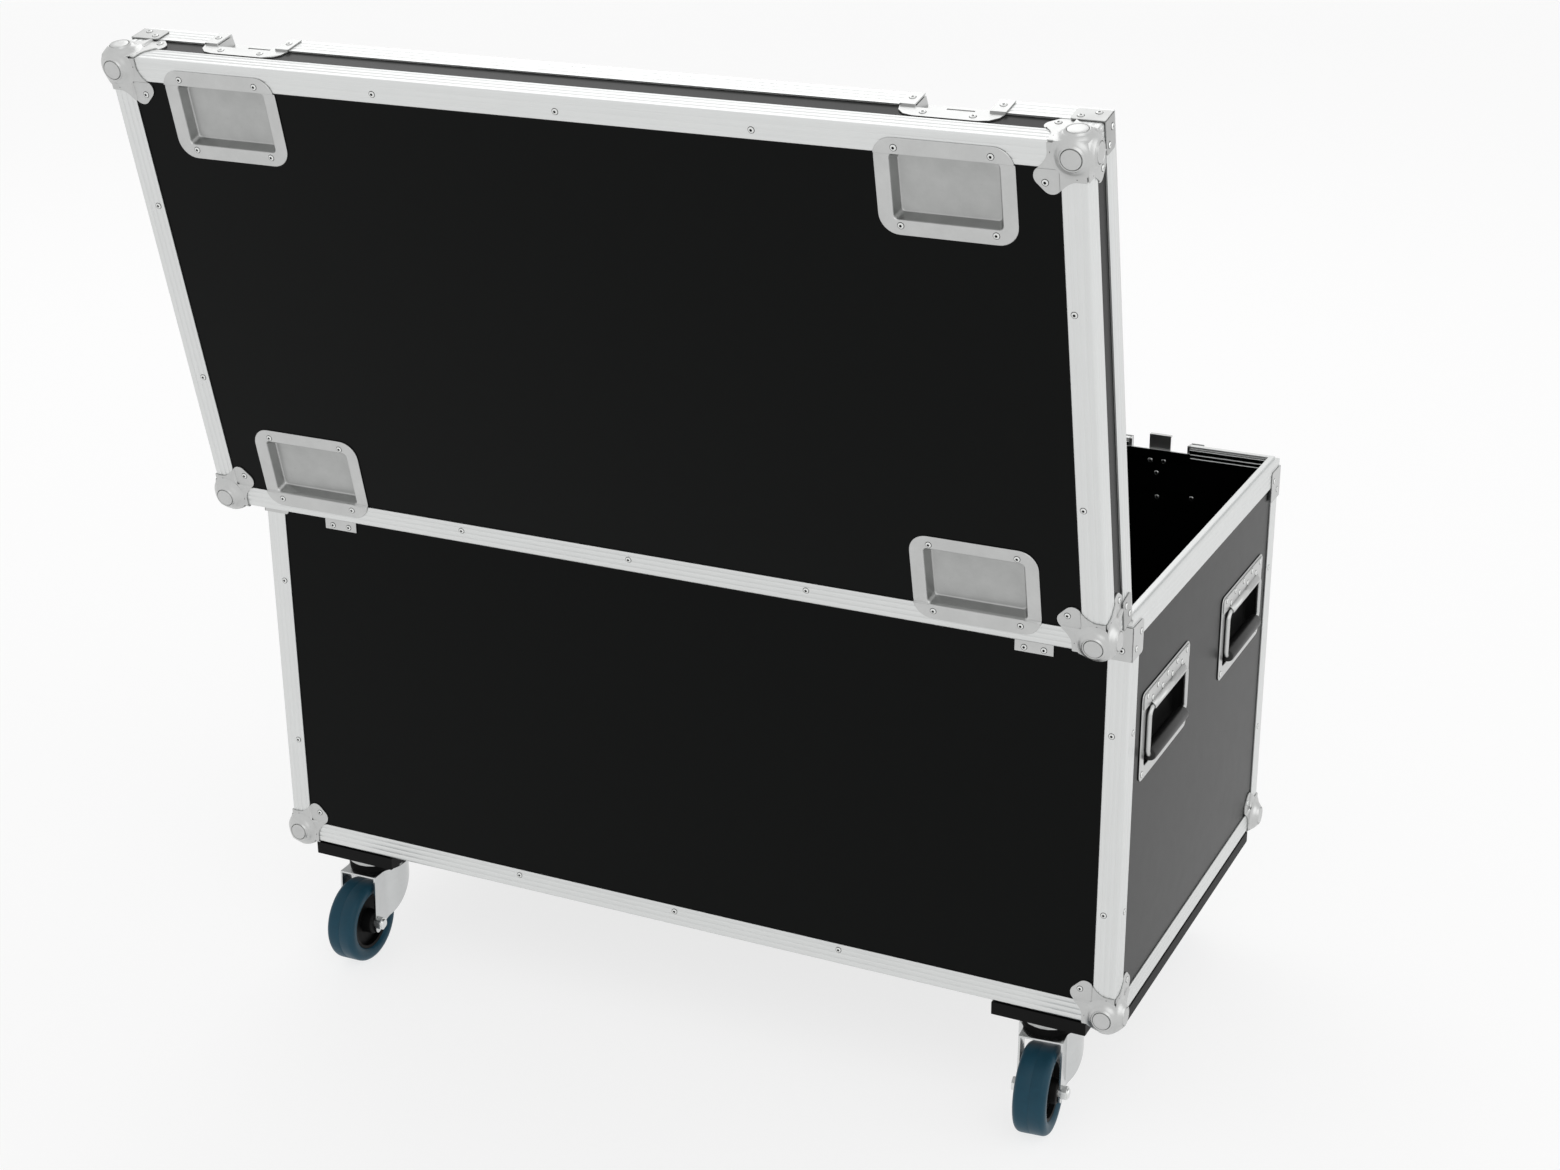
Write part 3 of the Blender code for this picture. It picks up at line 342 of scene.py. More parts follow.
def node_material(name, colour, roughness, metallic=0.0, ior=1.45, grain=(0.0, 1.0, 1.0),
                  cloud=0.0, relief=0.0, fine=0.0):
    """A procedural finish: grain is the strength and the two scales of streaks along local X, cloud
    the strength of soft patches, relief the depth of its bumps and fine how much roughness varies."""
    material = bpy.data.materials.new(name)
    material.use_nodes = True
    nodes, links = material.node_tree.nodes, material.node_tree.links
    shader = nodes["Principled BSDF"]
    shader.inputs["Metallic"].default_value = metallic
    shader.inputs["IOR"].default_value = ior
    place = nodes.new("ShaderNodeTexCoord")
    strength, along, across = grain
    stretch = nodes.new("ShaderNodeMapping")
    stretch.inputs["Scale"].default_value = (along, across, across)
    links.new(place.outputs["Object"], stretch.inputs["Vector"])
    streaks = nodes.new("ShaderNodeTexNoise")
    streaks.inputs["Scale"].default_value = 1.0
    streaks.inputs["Detail"].default_value = STREAK_DETAIL
    links.new(stretch.outputs["Vector"], streaks.inputs["Vector"])
    patches = nodes.new("ShaderNodeTexNoise")
    patches.inputs["Scale"].default_value = PATCH_SCALE
    patches.inputs["Detail"].default_value = PATCH_DETAIL
    links.new(place.outputs["Object"], patches.inputs["Vector"])
    blend = nodes.new("ShaderNodeMath")
    blend.operation = "MULTIPLY_ADD"
    links.new(streaks.outputs["Fac"], blend.inputs[0])
    blend.inputs[1].default_value = 2 * strength
    cloudy = nodes.new("ShaderNodeMath")
    cloudy.operation = "MULTIPLY_ADD"
    links.new(patches.outputs["Fac"], cloudy.inputs[0])
    cloudy.inputs[1].default_value = 2 * cloud
    cloudy.inputs[2].default_value = 1.0 - strength - cloud
    links.new(cloudy.outputs["Value"], blend.inputs[2])
    tint = nodes.new("ShaderNodeVectorMath")
    tint.operation = "SCALE"
    tint.inputs[0].default_value = colour
    links.new(blend.outputs["Value"], tint.inputs["Scale"])
    links.new(tint.outputs["Vector"], shader.inputs["Base Color"])
    rough = nodes.new("ShaderNodeMapRange")
    rough.inputs["To Min"].default_value = roughness - fine
    rough.inputs["To Max"].default_value = roughness + fine
    links.new(streaks.outputs["Fac"], rough.inputs["Value"])
    links.new(rough.outputs["Result"], shader.inputs["Roughness"])
    if relief:
        bump = nodes.new("ShaderNodeBump")
        bump.inputs["Strength"].default_value = BUMP_STRENGTH
        bump.inputs["Distance"].default_value = relief
        links.new(streaks.outputs["Fac"], bump.inputs["Height"])
        links.new(bump.outputs["Normal"], shader.inputs["Normal"])
    return material


MATERIALS = {
    "laminate": node_material("laminate", (0.0012, 0.0016, 0.0014), 0.24, ior=1.18,
                              grain=(0.10, 60.0, 60.0), cloud=0.15, fine=0.03),
    "aluminium": node_material("aluminium", (0.69, 0.70, 0.695), 0.40, 1.0,
                               grain=(0.06, 6.0, 900.0), cloud=0.02, relief=0.00004, fine=0.06),
    "zinc": node_material("zinc", (0.53, 0.535, 0.53), 0.34, 1.0,
                          grain=(0.03, 300.0, 300.0), cloud=0.10, relief=0.00002, fine=0.05),
    # A darker copy of zinc: painted shade inside the wheel dishes; the lid's braces take it too
    "pressed": node_material("pressed", (0.40, 0.405, 0.40), 0.30, 1.0,
                             grain=(0.03, 300.0, 300.0), cloud=0.16, relief=0.00002, fine=0.05),
    "chrome": node_material("chrome", (0.60, 0.61, 0.61), 0.14, 1.0,
                            grain=(0.03, 200.0, 200.0), cloud=0.05, fine=0.04),
    "rivet": node_material("rivet", (0.74, 0.75, 0.74), 0.30, 1.0, grain=(0.03, 200.0, 200.0)),
    "castor_board": node_material("castor_board", (0.004, 0.004, 0.004), 0.50, ior=1.20,
                                  grain=(0.2, 90.0, 900.0), relief=0.00005, fine=0.1),
    "tyre": node_material("tyre", (0.009, 0.054, 0.086), 0.42, ior=1.30,
                          grain=(0.10, 200.0, 200.0), cloud=0.15, relief=0.00004, fine=0.06),
    "grip": node_material("grip", (0.006, 0.006, 0.006), 0.42,
                          grain=(0.15, 700.0, 700.0), relief=0.00006, fine=0.08),
    # Near black: painted shade at the rivets' stem ends, the castor races and the handle recesses,
    # painted shadow round each rivet, and the small dark dots
    "hollow": node_material("hollow", (0.004, 0.004, 0.004), 0.7, ior=1.20, grain=(0.1, 200.0, 200.0)),
}


# Mesh builders

def add(name, shape, place, body, finish, *replaced, slot=None, bevel=0.0, sheet=0.0):
    """Adds a piece whose mesh is in the place frame; finish is one material key, or several by face."""
    mesh = as_mesh(name, shape) if isinstance(shape, bmesh.types.BMesh) else shape
    keys = [finish] if isinstance(finish, str) else finish
    if not mesh.materials:
        for key in keys:
            mesh.materials.append(MATERIALS[key])
        mesh.shade_smooth()
        if not bevel:
            mesh.set_sharp_from_angle(angle=math.radians(SHARP_ANGLE))
    obj = bpy.data.objects.new(name, mesh)
    bpy.context.scene.collection.objects.link(obj)
    obj.matrix_world = place
    if sheet:
        thicken = obj.modifiers.new("sheet", "SOLIDIFY")
        thicken.thickness = sheet
        thicken.offset = -1.0
    if bevel:
        round_edges(obj, bevel)
    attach(obj, body)
    if replaced:
        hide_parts(*replaced)


def as_mesh(name, bm):
    """A finished mesh that several pieces can share."""
    bmesh.ops.recalc_face_normals(bm, faces=bm.faces)
    mesh = bpy.data.meshes.new(name)
    bm.to_mesh(mesh)
    bm.free()
    return mesh


def round_edges(obj, width):
    edges = obj.modifiers.new("round_edges", "BEVEL")
    edges.width = width
    edges.segments = 2
    edges.limit_method = "ANGLE"
    edges.angle_limit = math.radians(BEVEL_ANGLE)
    edges.harden_normals = True


def dress(node, finish, bevel=0.0):
    """Gives a CAD node that is shown as it is its finish and rounded edges."""
    obj = frame["nodes"][node]
    obj.data.materials.clear()
    obj.data.materials.append(MATERIALS[finish])
    weld = obj.modifiers.new("weld", "WELD")
    weld.merge_threshold = CAD_WELD
    if bevel:
        round_edges(obj, bevel)


def arc(centre, radius, start, end, steps):
    """Points on an arc, with the angles in degrees."""
    angles = [math.radians(start + (end - start) * i / steps) for i in range(steps + 1)]
    return [(centre[0] + radius * math.cos(a), centre[1] + radius * math.sin(a)) for a in angles]


def bezier(start, control, end, steps):
    """Points of a quadratic curve."""
    points = []
    for i in range(steps + 1):
        t = i / steps
        points.append(tuple((1 - t) ** 2 * a + 2 * t * (1 - t) * b + t * t * c
                            for a, b, c in zip(start, control, end)))
    return points


def rounded(half_x, half_y, radius, height, middle=(0.0, 0.0)):
    """A rectangle with round corners at one height."""
    ring = []
    for i, (x, y) in enumerate(((1, 1), (-1, 1), (-1, -1), (1, -1))):
        corner = (middle[0] + x * (half_x - radius), middle[1] + y * (half_y - radius))
        ring += [(*point, height) for point in arc(corner, radius, 90 * i, 90 * i + 90, 8)]
    return ring


def loft(rings, first_cap=False, last_cap=True, closed=True):
    """Skins rings that have the same number of points."""
    bm = bmesh.new()
    rows = [[bm.verts.new(point) for point in ring] for ring in rings]
    count = len(rows[0])
    for low, high in zip(rows, rows[1:]):
        for i in range(count if closed else count - 1):
            j = (i + 1) % count
            bm.faces.new((low[i], low[j], high[j], high[i]))
    if first_cap:
        bm.faces.new(rows[0])
    if last_cap:
        bm.faces.new(rows[-1])
    return bm


def prism(outline, low, high):
    """An outline in X and Y, raised from low to high."""
    return loft([[(x, y, z) for x, y in outline] for z in (low, high)], True, True)


def revolve(profile, segments, closed=False):
    """Turns a profile of (radius, height) points round Z."""
    turns = [(math.cos(a), math.sin(a)) for a in (2 * math.pi * i / segments for i in range(segments))]
    rings = [[(radius * c, radius * s, height) for c, s in turns] for radius, height in profile]
    if closed:
        rings.append(rings[0])
    bm = loft(rings, False, False)
    bmesh.ops.remove_doubles(bm, verts=bm.verts, dist=TOUCHING)
    return bm


def merge(target, *others):
    """Adds other meshes, with their places, to the first."""
    for place, other in others:
        mesh = bpy.data.meshes.new("part")
        other.to_mesh(mesh)
        other.free()
        mesh.transform(place)
        target.from_mesh(mesh)
        bpy.data.meshes.remove(mesh)
    return target


def ring_bar(points, radius):
    """A round bar along a closed line of points."""
    curve = bpy.data.curves.new("bar", "CURVE")
    curve.dimensions = "3D"
    curve.bevel_depth = radius
    curve.bevel_resolution = 3
    spline = curve.splines.new("POLY")
    spline.points.add(len(points) - 1)
    for target, point in zip(spline.points, points):
        target.co = (*point, 1.0)
    spline.use_cyclic_u = True
    shape = bpy.data.objects.new("bar", curve)
    bm = bmesh.new()
    bm.from_mesh(shape.to_mesh())
    bpy.data.objects.remove(shape)
    bmesh.ops.remove_doubles(bm, verts=bm.verts, dist=TOUCHING)
    return bm


def solid(bm):
    """A plain object to cut with or to be cut."""
    bmesh.ops.recalc_face_normals(bm, faces=bm.faces)
    mesh = bpy.data.meshes.new("solid")
    bm.to_mesh(mesh)
    bm.free()
    obj = bpy.data.objects.new("solid", mesh)
    bpy.context.scene.collection.objects.link(obj)
    return obj


def carve(target, *steps):
    """Boolean steps on a mesh: each is an operation and a tool mesh."""
    shape = solid(target)
    tools = []
    for operation, tool in steps:
        tools.append(solid(tool))
        step = shape.modifiers.new("step", "BOOLEAN")
        step.operation = operation
        step.solver = "EXACT"
        step.object = tools[-1]
    bpy.context.view_layer.update()
    bm = bmesh.new()
    bm.from_mesh(shape.evaluated_get(bpy.context.evaluated_depsgraph_get()).data)
    for obj in [shape] + tools:
        bpy.data.objects.remove(obj)
    return bm


# Aluminium profiles, with three cuts for their ends: how much shorter they are at a point

def square(inset, rise):
    return 0.0


def mitre(inset, rise):
    return inset


def corner_mitre(inset, rise):
    return max(inset, rise)


def rail(section, start, end, start_cut, end_cut):
    """A profile along X; each cut says how much shorter it is at a point of the section."""
    rows = [[(start + start_cut(inset, rise), rise, -inset) for inset, rise in section],
            [(end - end_cut(inset, rise), rise, -inset) for inset, rise in section]]
    return loft(rows, True, True)


def grooved(start, end):
    """A leg's face from start to end, measured along it, with V grooves; the second value is depth."""
    direction = 1 if end > start else -1
    middle = (start + end) / 2
    points = [(start, 0.0)]
    for offset in (-GROOVE_STEP, 0.0, GROOVE_STEP):
        at = middle + direction * offset
        points += [(at - direction * GROOVE_WIDTH / 2, 0.0), (at, GROOVE_DEPTH),
                   (at + direction * GROOVE_WIDTH / 2, 0.0)]
    return points + [(end, 0.0)]


def edge_section():
    """An angle of two legs with a round outer corner, which lies at (0, 0)."""
    leg = [(BAND, SKIN), (BAND, EDGE_TIP)] + grooved(BAND - EDGE_TIP, EDGE_ROUND)
    wall_leg = [(depth, along) for along, depth in leg]
    flat_leg = [(along, depth) for along, depth in reversed(leg)]
    bend = arc((EDGE_ROUND, EDGE_ROUND), EDGE_ROUND, 180, 270, 4)[1:-1]
    return wall_leg + bend + flat_leg + [(SKIN, SKIN)]


def rim_band(low, high, bend_end):
    """The outer face of a rim profile from low to high, with a round edge at bend_end."""
    outward = 1 if bend_end == high else -1
    flat = bend_end - outward * RIM_ROUND
    far = low if outward > 0 else high
    points = [(depth, along) for along, depth in grooved(far, flat)]
    return points + [(RIM_ROUND_MIDDLE, bend_end - outward * RIM_ROUND_MIDDLE), (RIM_ROUND, bend_end)]


def ridged(start, end, sign):
    """The inner face of a rim profile, with its three raised lines."""
    points = [(RIM_LEG[1], start)]
    for ridge in INNER_RIDGES:
        points += [(RIM_LEG[1], sign * ridge + RIDGE_HALF), (RIM_LEG[1] + RIDGE_HEIGHT, sign * ridge),
                   (RIM_LEG[1], sign * ridge - RIDGE_HALF)][::-sign]
    return points + [(RIM_LEG[1], end)]


def base_rim_section(band):
    """The profile that closes the base, with the tongue that the lid's lip shuts over."""
    inner, outer = TONGUE
    return (rim_band(-band, -RIM_SHOULDER, -RIM_SHOULDER)
            + [(inner, -RIM_SHOULDER), (inner, -TONGUE_EDGE), (inner + TONGUE_EDGE, 0.0),
               (outer - TONGUE_EDGE, 0.0), (outer, -TONGUE_EDGE), (outer, -RIM_SHOULDER)]
            + ridged(-RIM_SHOULDER, -RIM_LEG_END, -1)
            + [(RIM_LEG[0], -RIM_LEG_END), (RIM_LEG[0], -RIM_WEB), (SKIN, -RIM_WEB), (SKIN, -band)])


def lid_rim_section(band):
    low = LIP_GAP - RIM_SHOULDER
    return (rim_band(low, band, low)
            + [(LIP_WIDTH, low), (LIP_WIDTH, LIP_GAP)]
            + ridged(LIP_GAP, RIM_LEG_END, 1)
            + [(RIM_LEG[0], RIM_LEG_END), (RIM_LEG[0], RIM_WEB), (SKIN, RIM_WEB), (SKIN, band)])


def paint_inner_leg_shade(bm):
    """The rim's inner face takes the black second material between its bright raised lines, as painted
    shade and painted dark reflection of the black inside.
    """
    for face in bm.faces:
        if abs(-face.calc_center_median().z - RIM_LEG[1]) < SAME_PLANE:
            face.material_index = 1
    return bm


def leg_section(sign):
    """The part of the inner leg that runs on behind a latch."""
    low, high = sorted((sign * LATCH_FLOOR_TOP, sign * RIM_LEG_END))
    return [(RIM_LEG[0], low), (RIM_LEG[1], low), (RIM_LEG[1], high), (RIM_LEG[0], high)]


def latch_x():
    """How far the two latches lie from the middle of the front wall."""
    low, high = span("latch_dish_right", CASE)
    return (low.x + high.x) / 2


def rim_rails(half, home, body, rise, section, leg):
    """The rim profile of one half, parted at the latches on the front wall."""
    along, notch = latch_x(), LATCH_NOTCH
    front = [(-HALF_LENGTH, -along - notch, mitre, square),
             (notch - along, along - notch, square, square),
             (along + notch, HALF_LENGTH, square, mitre)]
    # The laminate paints the inner leg black between its raised lines, as painted shade and dark
    # reflection
    finish = ["aluminium", "laminate"]
    for quarter in range(4):
        reach = wall_half(quarter)
        place = wall(home, quarter, rise)
        for i, part in enumerate([(-reach, reach, mitre, mitre)] if quarter else front):
            add(f"{half}_rim_{quarter}_{i}", paint_inner_leg_shade(rail(section, *part)), place, body,
                finish, f"{half}_rim_profile")
    for side in (-1, 1):
        ends = (side * along - notch, side * along + notch)
        add(f"{half}_rim_leg_{side + 1}", paint_inner_leg_shade(rail(leg, *ends, square, square)),
            wall(home, 0, rise), body, finish)


def edge_rails(half, home, body, closed_end, open_end):
    """The angles round the closed end of one half and up, or down, its four corners."""
    section = edge_section()
    way = 1 if open_end > closed_end else -1
    over = FLAT if way > 0 else Matrix.Rotation(math.pi, 4, "Z")
    upright = Matrix(((0, -1, 0, 0), (1, 0, 0, 0), (0, 0, 1, 0), (0, 0, 0, 1)))
    start, end = sorted((0.0, open_end - closed_end))
    cuts = (corner_mitre, square) if way > 0 else (square, corner_mitre)
    for quarter in range(4):
        reach = wall_half(quarter)
        place = wall(home, quarter, closed_end)
        add(f"{half}_edge_{quarter}", rail(section, -reach, reach, corner_mitre, corner_mitre),
            place @ over, body, "aluminium", f"{half}_edge_frame")
        add(f"{half}_post_{quarter}", rail(section, start, end, *cuts),
            place @ Matrix.Translation((reach, 0, 0)) @ upright, body, "aluminium", f"{half}_edge_frame")


def profiles():
    edge_rails("base", CASE, "case", UNDERSIDE, span("base_edge_frame", CASE)[1].z)
    edge_rails("lid", LID, "lid", LID_HEIGHT, span("lid_edge_frame", LID)[0].z)
    rim_rails("base", CASE, "case", RIM, base_rim_section(BASE_RIM_BAND), leg_section(-1))
    rim_rails("lid", LID, "lid", 0.0, lid_rim_section(LID_RIM_BAND), leg_section(1))


# Corner braces of the open rims and the plates behind the latches

def brace_leg(low, high):
    """One leg of a brace, in a wall's frame with the corner at x = 0 and the wall towards -X."""
    inner = BRACE_ROUND - BRACE_LEG
    outline = [(GAP + SHEET, low), (GAP + SHEET, high)]
    outline += arc((inner, high - BRACE_ROUND), BRACE_ROUND, 90, 180, 5)
    outline += arc((inner, low + BRACE_ROUND), BRACE_ROUND, 180, 270, 5)
    return prism(outline, GAP, GAP + SHEET)


def braces():
    for half, home, body, rise, (low, high) in (("base", CASE, "case", RIM, BASE_BRACE),
                                                ("lid", LID, "lid", 0.0, LID_BRACE)):
        for quarter in range(4):
            here = wall(home, quarter, rise) @ Matrix.Translation((wall_half(quarter), 0, 0))
            beyond = (wall(home, (quarter + 1) % 4, rise)
                      @ Matrix.Translation((-wall_half((quarter + 1) % 4), 0, 0)))
            other_wall = here.inverted() @ beyond @ Matrix.Diagonal((-1, 1, 1, 1))
            plate = merge(brace_leg(low, high), (other_wall, brace_leg(low, high)))
            # The lid's braces take the darker copy of zinc that paints shade in the wheel dishes
            add(f"{half}_brace_{quarter}", plate, here, body, "zinc" if half == "base" else "pressed",
                slot="zinc", bevel=BRACE_EDGE)
            for place, sign in ((here, -1), (beyond, 1)):
                for along, share in BRACE_RIVETS:
                    at = (sign * along, low + share * (high - low), GAP + SHEET)
                    rivet(body, place @ Matrix.Translation(at))


def backing_plates():
    """Black plates inside the front wall that take the latches' rivets."""
    low, high = BACKING_DROP
    upper, lower = BACKING_BENDS
    near, far = BACKING_DEPTH, BACKING_DEPTH - BACKING_STEP
    section = [(near, high), (near, upper), (far, lower), (far, low), (far + SHEET, low),
               (far + SHEET, lower - BACKING_BEND_SHIFT), (near + SHEET, upper - BACKING_BEND_SHIFT),
               (near + SHEET, high)]
    inward = Matrix.Rotation(math.pi, 4, "Y")
    for side in (-1, 1):
        place = wall(CASE, 0, RIM) @ Matrix.Translation((side * latch_x(), 0, 0))
        plate = rail(section, -BACKING_HALF, BACKING_HALF, square, square)
        add(f"latch_backing_{side + 1}", plate, place, "case", "laminate", bevel=FINE_EDGE)
        for along, rise, depth in BACKING_RIVETS:
            rivet("case", place @ Matrix.Translation((side * along, rise, -depth)) @ inward)


# Ball corners

def lobe_outline():
    """Two legs along the edges and, between them, a round-ended tongue along the diagonal."""
    half = LOBE_WIDTH / 2
    end = arc((LOBE_REACH - LOBE_ROUND, half - LOBE_ROUND), LOBE_ROUND, 90, 0, 9)
    tongue = [((along + across) / math.sqrt(2), (along - across) / math.sqrt(2))
              for along, across in [(LOBE_NECK, half), *end]]
    crook = (LEG_REACH, LEG_REACH - math.sqrt(2) * half)
    side = [(LEG_REACH, GAP), *bezier((LEG_REACH, LEG_SIDE), crook, tongue[0], 9), *tongue[1:]]
    return [(GAP, GAP)] + side + [(y, x) for x, y in reversed(side)]


def ball_plate():
    """The plate lies on the bands beside the corner and drops to the panel under its lobe."""
    plate = prism(lobe_outline(), GAP, GAP + SHEET)
    for start in (BAND, BAND + PLATE_RAMP):
        for normal in ((1, 0, 0), (0, 1, 0)):
            bmesh.ops.bisect_plane(plate, geom=plate.verts[:] + plate.edges[:] + plate.faces[:],
                                   plane_co=Vector(normal) * start, plane_no=normal)
    for vertex in plate.verts:
        past = min(vertex.co.x, vertex.co.y) - BAND
        vertex.co.z -= FACE * min(max(past / PLATE_RAMP, 0.0), 1.0)
    return plate


def dome_patch():
    """The third of the dome round its flat along +Z. It ends where the thirds along +X and +Y start
    and, on its other sides, at the face plate; the dome's corner point is at the origin."""
    foot = math.acos(BALL_INSET / BALL_RADIUS)
    turns = [2 * math.pi * i / DOME_STEPS for i in range(DOME_STEPS)]
    rings = []
    for off, lift in COIN_RINGS:
        height = min(math.sqrt(BALL_RADIUS ** 2 - off ** 2), BALL_FLAT - COIN_SUNK) + lift
        rings.append([(off * math.cos(a), off * math.sin(a), height) for a in turns])
    start = math.asin(COIN_RINGS[-1][0] / BALL_RADIUS)
    away = 0.01  # Stands for a direction that meets neither seam
    for i in range(1, DOME_RINGS + 1):
        ring = []
        for a in turns:
            seam = math.atan2(1.0, max(math.cos(a), math.sin(a), away))
            tilt = start + (min(foot, seam) - start) * i / DOME_RINGS
            side = BALL_RADIUS * math.sin(tilt)
            ring.append((side * math.cos(a), side * math.sin(a), BALL_RADIUS * math.cos(tilt)))
        rings.append(ring)
    patch = loft(rings, False, False)
    bmesh.ops.remove_doubles(patch, verts=patch.verts, dist=TOUCHING)
    patch.transform(Matrix.Translation((-BALL_INSET, -BALL_INSET, -BALL_INSET)))
    return patch


def ball_dome():
    """The dome over the corner point, with a round flat on each side and a flared foot. The case
    lies towards -X, -Y and +Z."""
    turn = Matrix(((0, 0, 1, 0), (1, 0, 0, 0), (0, 1, 0, 0), (0, 0, 0, 1)))
    dome = merge(dome_patch(), (turn, dome_patch()), (turn @ turn, dome_patch()))
    bmesh.ops.remove_doubles(dome, verts=dome.verts, dist=SEAM_WELD)
    for vertex in dome.verts:
        height = max(*vertex.co, 0.0)
        if height < DOME_FOOT:
            outward = vertex.co + Vector((BALL_INSET, BALL_INSET, BALL_INSET))
            vertex.co += outward.normalized() * DOME_FLARE * (1 - height / DOME_FOOT) ** 2
    dome.transform(Matrix.Diagonal((1, 1, -1, 1)))
    return dome


def ball_corners():
    side = Matrix(((0, 0, 1, 0), (-1, 0, 0, 0), (0, 1, 0, 0), (0, 0, 0, 1)))
    rear = Matrix(((-1, 0, 0, 0), (0, 0, 1, 0), (0, 1, 0, 0), (0, 0, 0, 1)))
    end = Matrix(((-1, 0, 0, 0), (0, -1, 0, 0), (0, 0, -1, 0), (0, 0, 0, 1)))
    bm = merge(ball_dome(), (side, ball_plate()), (rear, ball_plate()), (end, ball_plate()))
    mesh = as_mesh("ball_corner", bm)
    corners = {"rear_right": (1, 1, 0), "rear_left": (-1, 1, 1),
               "front_left": (-1, -1, 2), "front_right": (1, -1, 3)}
    for name, (x, y, quarter) in corners.items():
        for half, home, height, flip in (("base", CASE, UNDERSIDE, FLAT),
                                         ("lid", LID, LID_HEIGHT, Matrix.Rotation(math.pi, 4, "X"))):
            turn = quarter + (half == "lid")
            place = (home @ Matrix.Translation((x * HALF_LENGTH, y * HALF_DEPTH, height))
                     @ Matrix.Rotation(turn * math.pi / 2, 4, "Z") @ flip)
            body = "case" if half == "base" else "lid"
            add(f"ball_{half}_{name}", mesh, place, body, "zinc", f"ball_corner_{half}_{name}")
            for face in (side, rear, end):
                at = Matrix.Translation((LOBE_RIVET, LOBE_RIVET, GAP + SHEET - FACE))
                rivet(body, place @ face @ at)
                for u, v in (LEG_DOT, LEG_DOT[::-1]):
                    dot(body, place @ face @ Matrix.Translation((u, v, GAP + SHEET)))


# Rivets

RIVETS = {"case": [], "lid": []}
DOTS = {"case": [], "lid": []}


def rivet(body, place):
    RIVETS[body].append(place)


def dot(body, place):
    DOTS[body].append(place)


def rivet_shape():
    """A pop rivet: a low dome round the end of its tubular stem, painted black as the shade in the hole,
    on a thin black ring of painted shadow.
    """
    bore = RIVET_HOLE * STEM_TAPER
    stem_edge, stem_middle = (RIVET_HEIGHT * share for share in STEM_HEIGHTS)
    shadow_ring_inner, shadow_ring_outer = (RIVET_RADIUS + offset for offset in RIVET_SHADOW_RING)
    dome = [(RIVET_RADIUS * across, RIVET_HEIGHT * rise) for across, rise in RIVET_DOME]
    head = revolve([*dome, (RIVET_HOLE, RIVET_HEIGHT * HOLE_LIP), (bore, stem_middle)], RIVET_STEPS)
    stem = revolve([(bore, stem_edge), (0.0, stem_middle)], RIVET_STEPS)
    start = len(head.faces)
    # A thin black ring of painted shadow round the rivet's foot
    line = revolve([(shadow_ring_outer, 0.0), (shadow_ring_outer, RIVET_SHADOW_HEIGHT),
                    (shadow_ring_inner, RIVET_SHADOW_HEIGHT)], RIVET_STEPS)
    merge(head, (FLAT, stem), (FLAT, line))
    # Painted shade and shadow: the stem's end and the ring take the black second material
    head.faces.ensure_lookup_table()
    for face in head.faces[start:]:
        face.material_index = 1
    return head


def scatter(shape, places):
    """Copies of one small shape at many places, as one mesh."""
    source = as_mesh("small_shape", shape)
    every = bmesh.new()
    for place in places:
        one = source.copy()
        one.transform(place)
        every.from_mesh(one)
        bpy.data.meshes.remove(one)
    return every


def rivets():
    for body, places in RIVETS.items():
        # The second material paints the shade in the stems' ends and the shadow ring round each rivet
        add(f"rivets_{body}", scatter(rivet_shape(), places), FLAT, body, ["rivet", "hollow"],
            slot="aluminium")
    for body, places in DOTS.items():
        add(f"dots_{body}", scatter(revolve(DOT_PROFILE, 12), places), FLAT, body, "hollow", slot="grip")


def band_rivets():
    """The rivets along the edge profiles."""
    top = LID @ Matrix.Translation((0, 0, LID_HEIGHT))
    for x in LONG_RIVETS:
        for y in (HALF_DEPTH - LID_REAR_RIVET, LID_FRONT_RIVET - HALF_DEPTH):
            rivet("lid", top @ Matrix.Translation((x, y, 0)))
        for quarter in (0, 2):
            rivet("case", wall(CASE, quarter, UNDERSIDE) @ Matrix.Translation((x, FOOT_RIVET_RISE, 0)))
    for x in (-LID_END_RIVET_X, LID_END_RIVET_X):
        for in_from_rear in LID_END_RIVETS:
            rivet("lid", top @ Matrix.Translation((x, HALF_DEPTH - in_from_rear, 0)))
    for quarter in range(4):
        for sign in (-1, 1):
            for drop in POST_RIVET_DROPS:
                at = (sign * (wall_half(quarter) - POST_RIVET), -drop, 0)
                rivet("case", wall(CASE, quarter, RIM) @ Matrix.Translation(at))


# Wheel dishes

def quarter_turn(steps):
    """Sine and cosine at even steps from 0 to 90 degrees."""
    angles = [math.pi / 2 * i / steps for i in range(steps + 1)]
    return [(math.sin(angle), math.cos(angle)) for angle in angles]


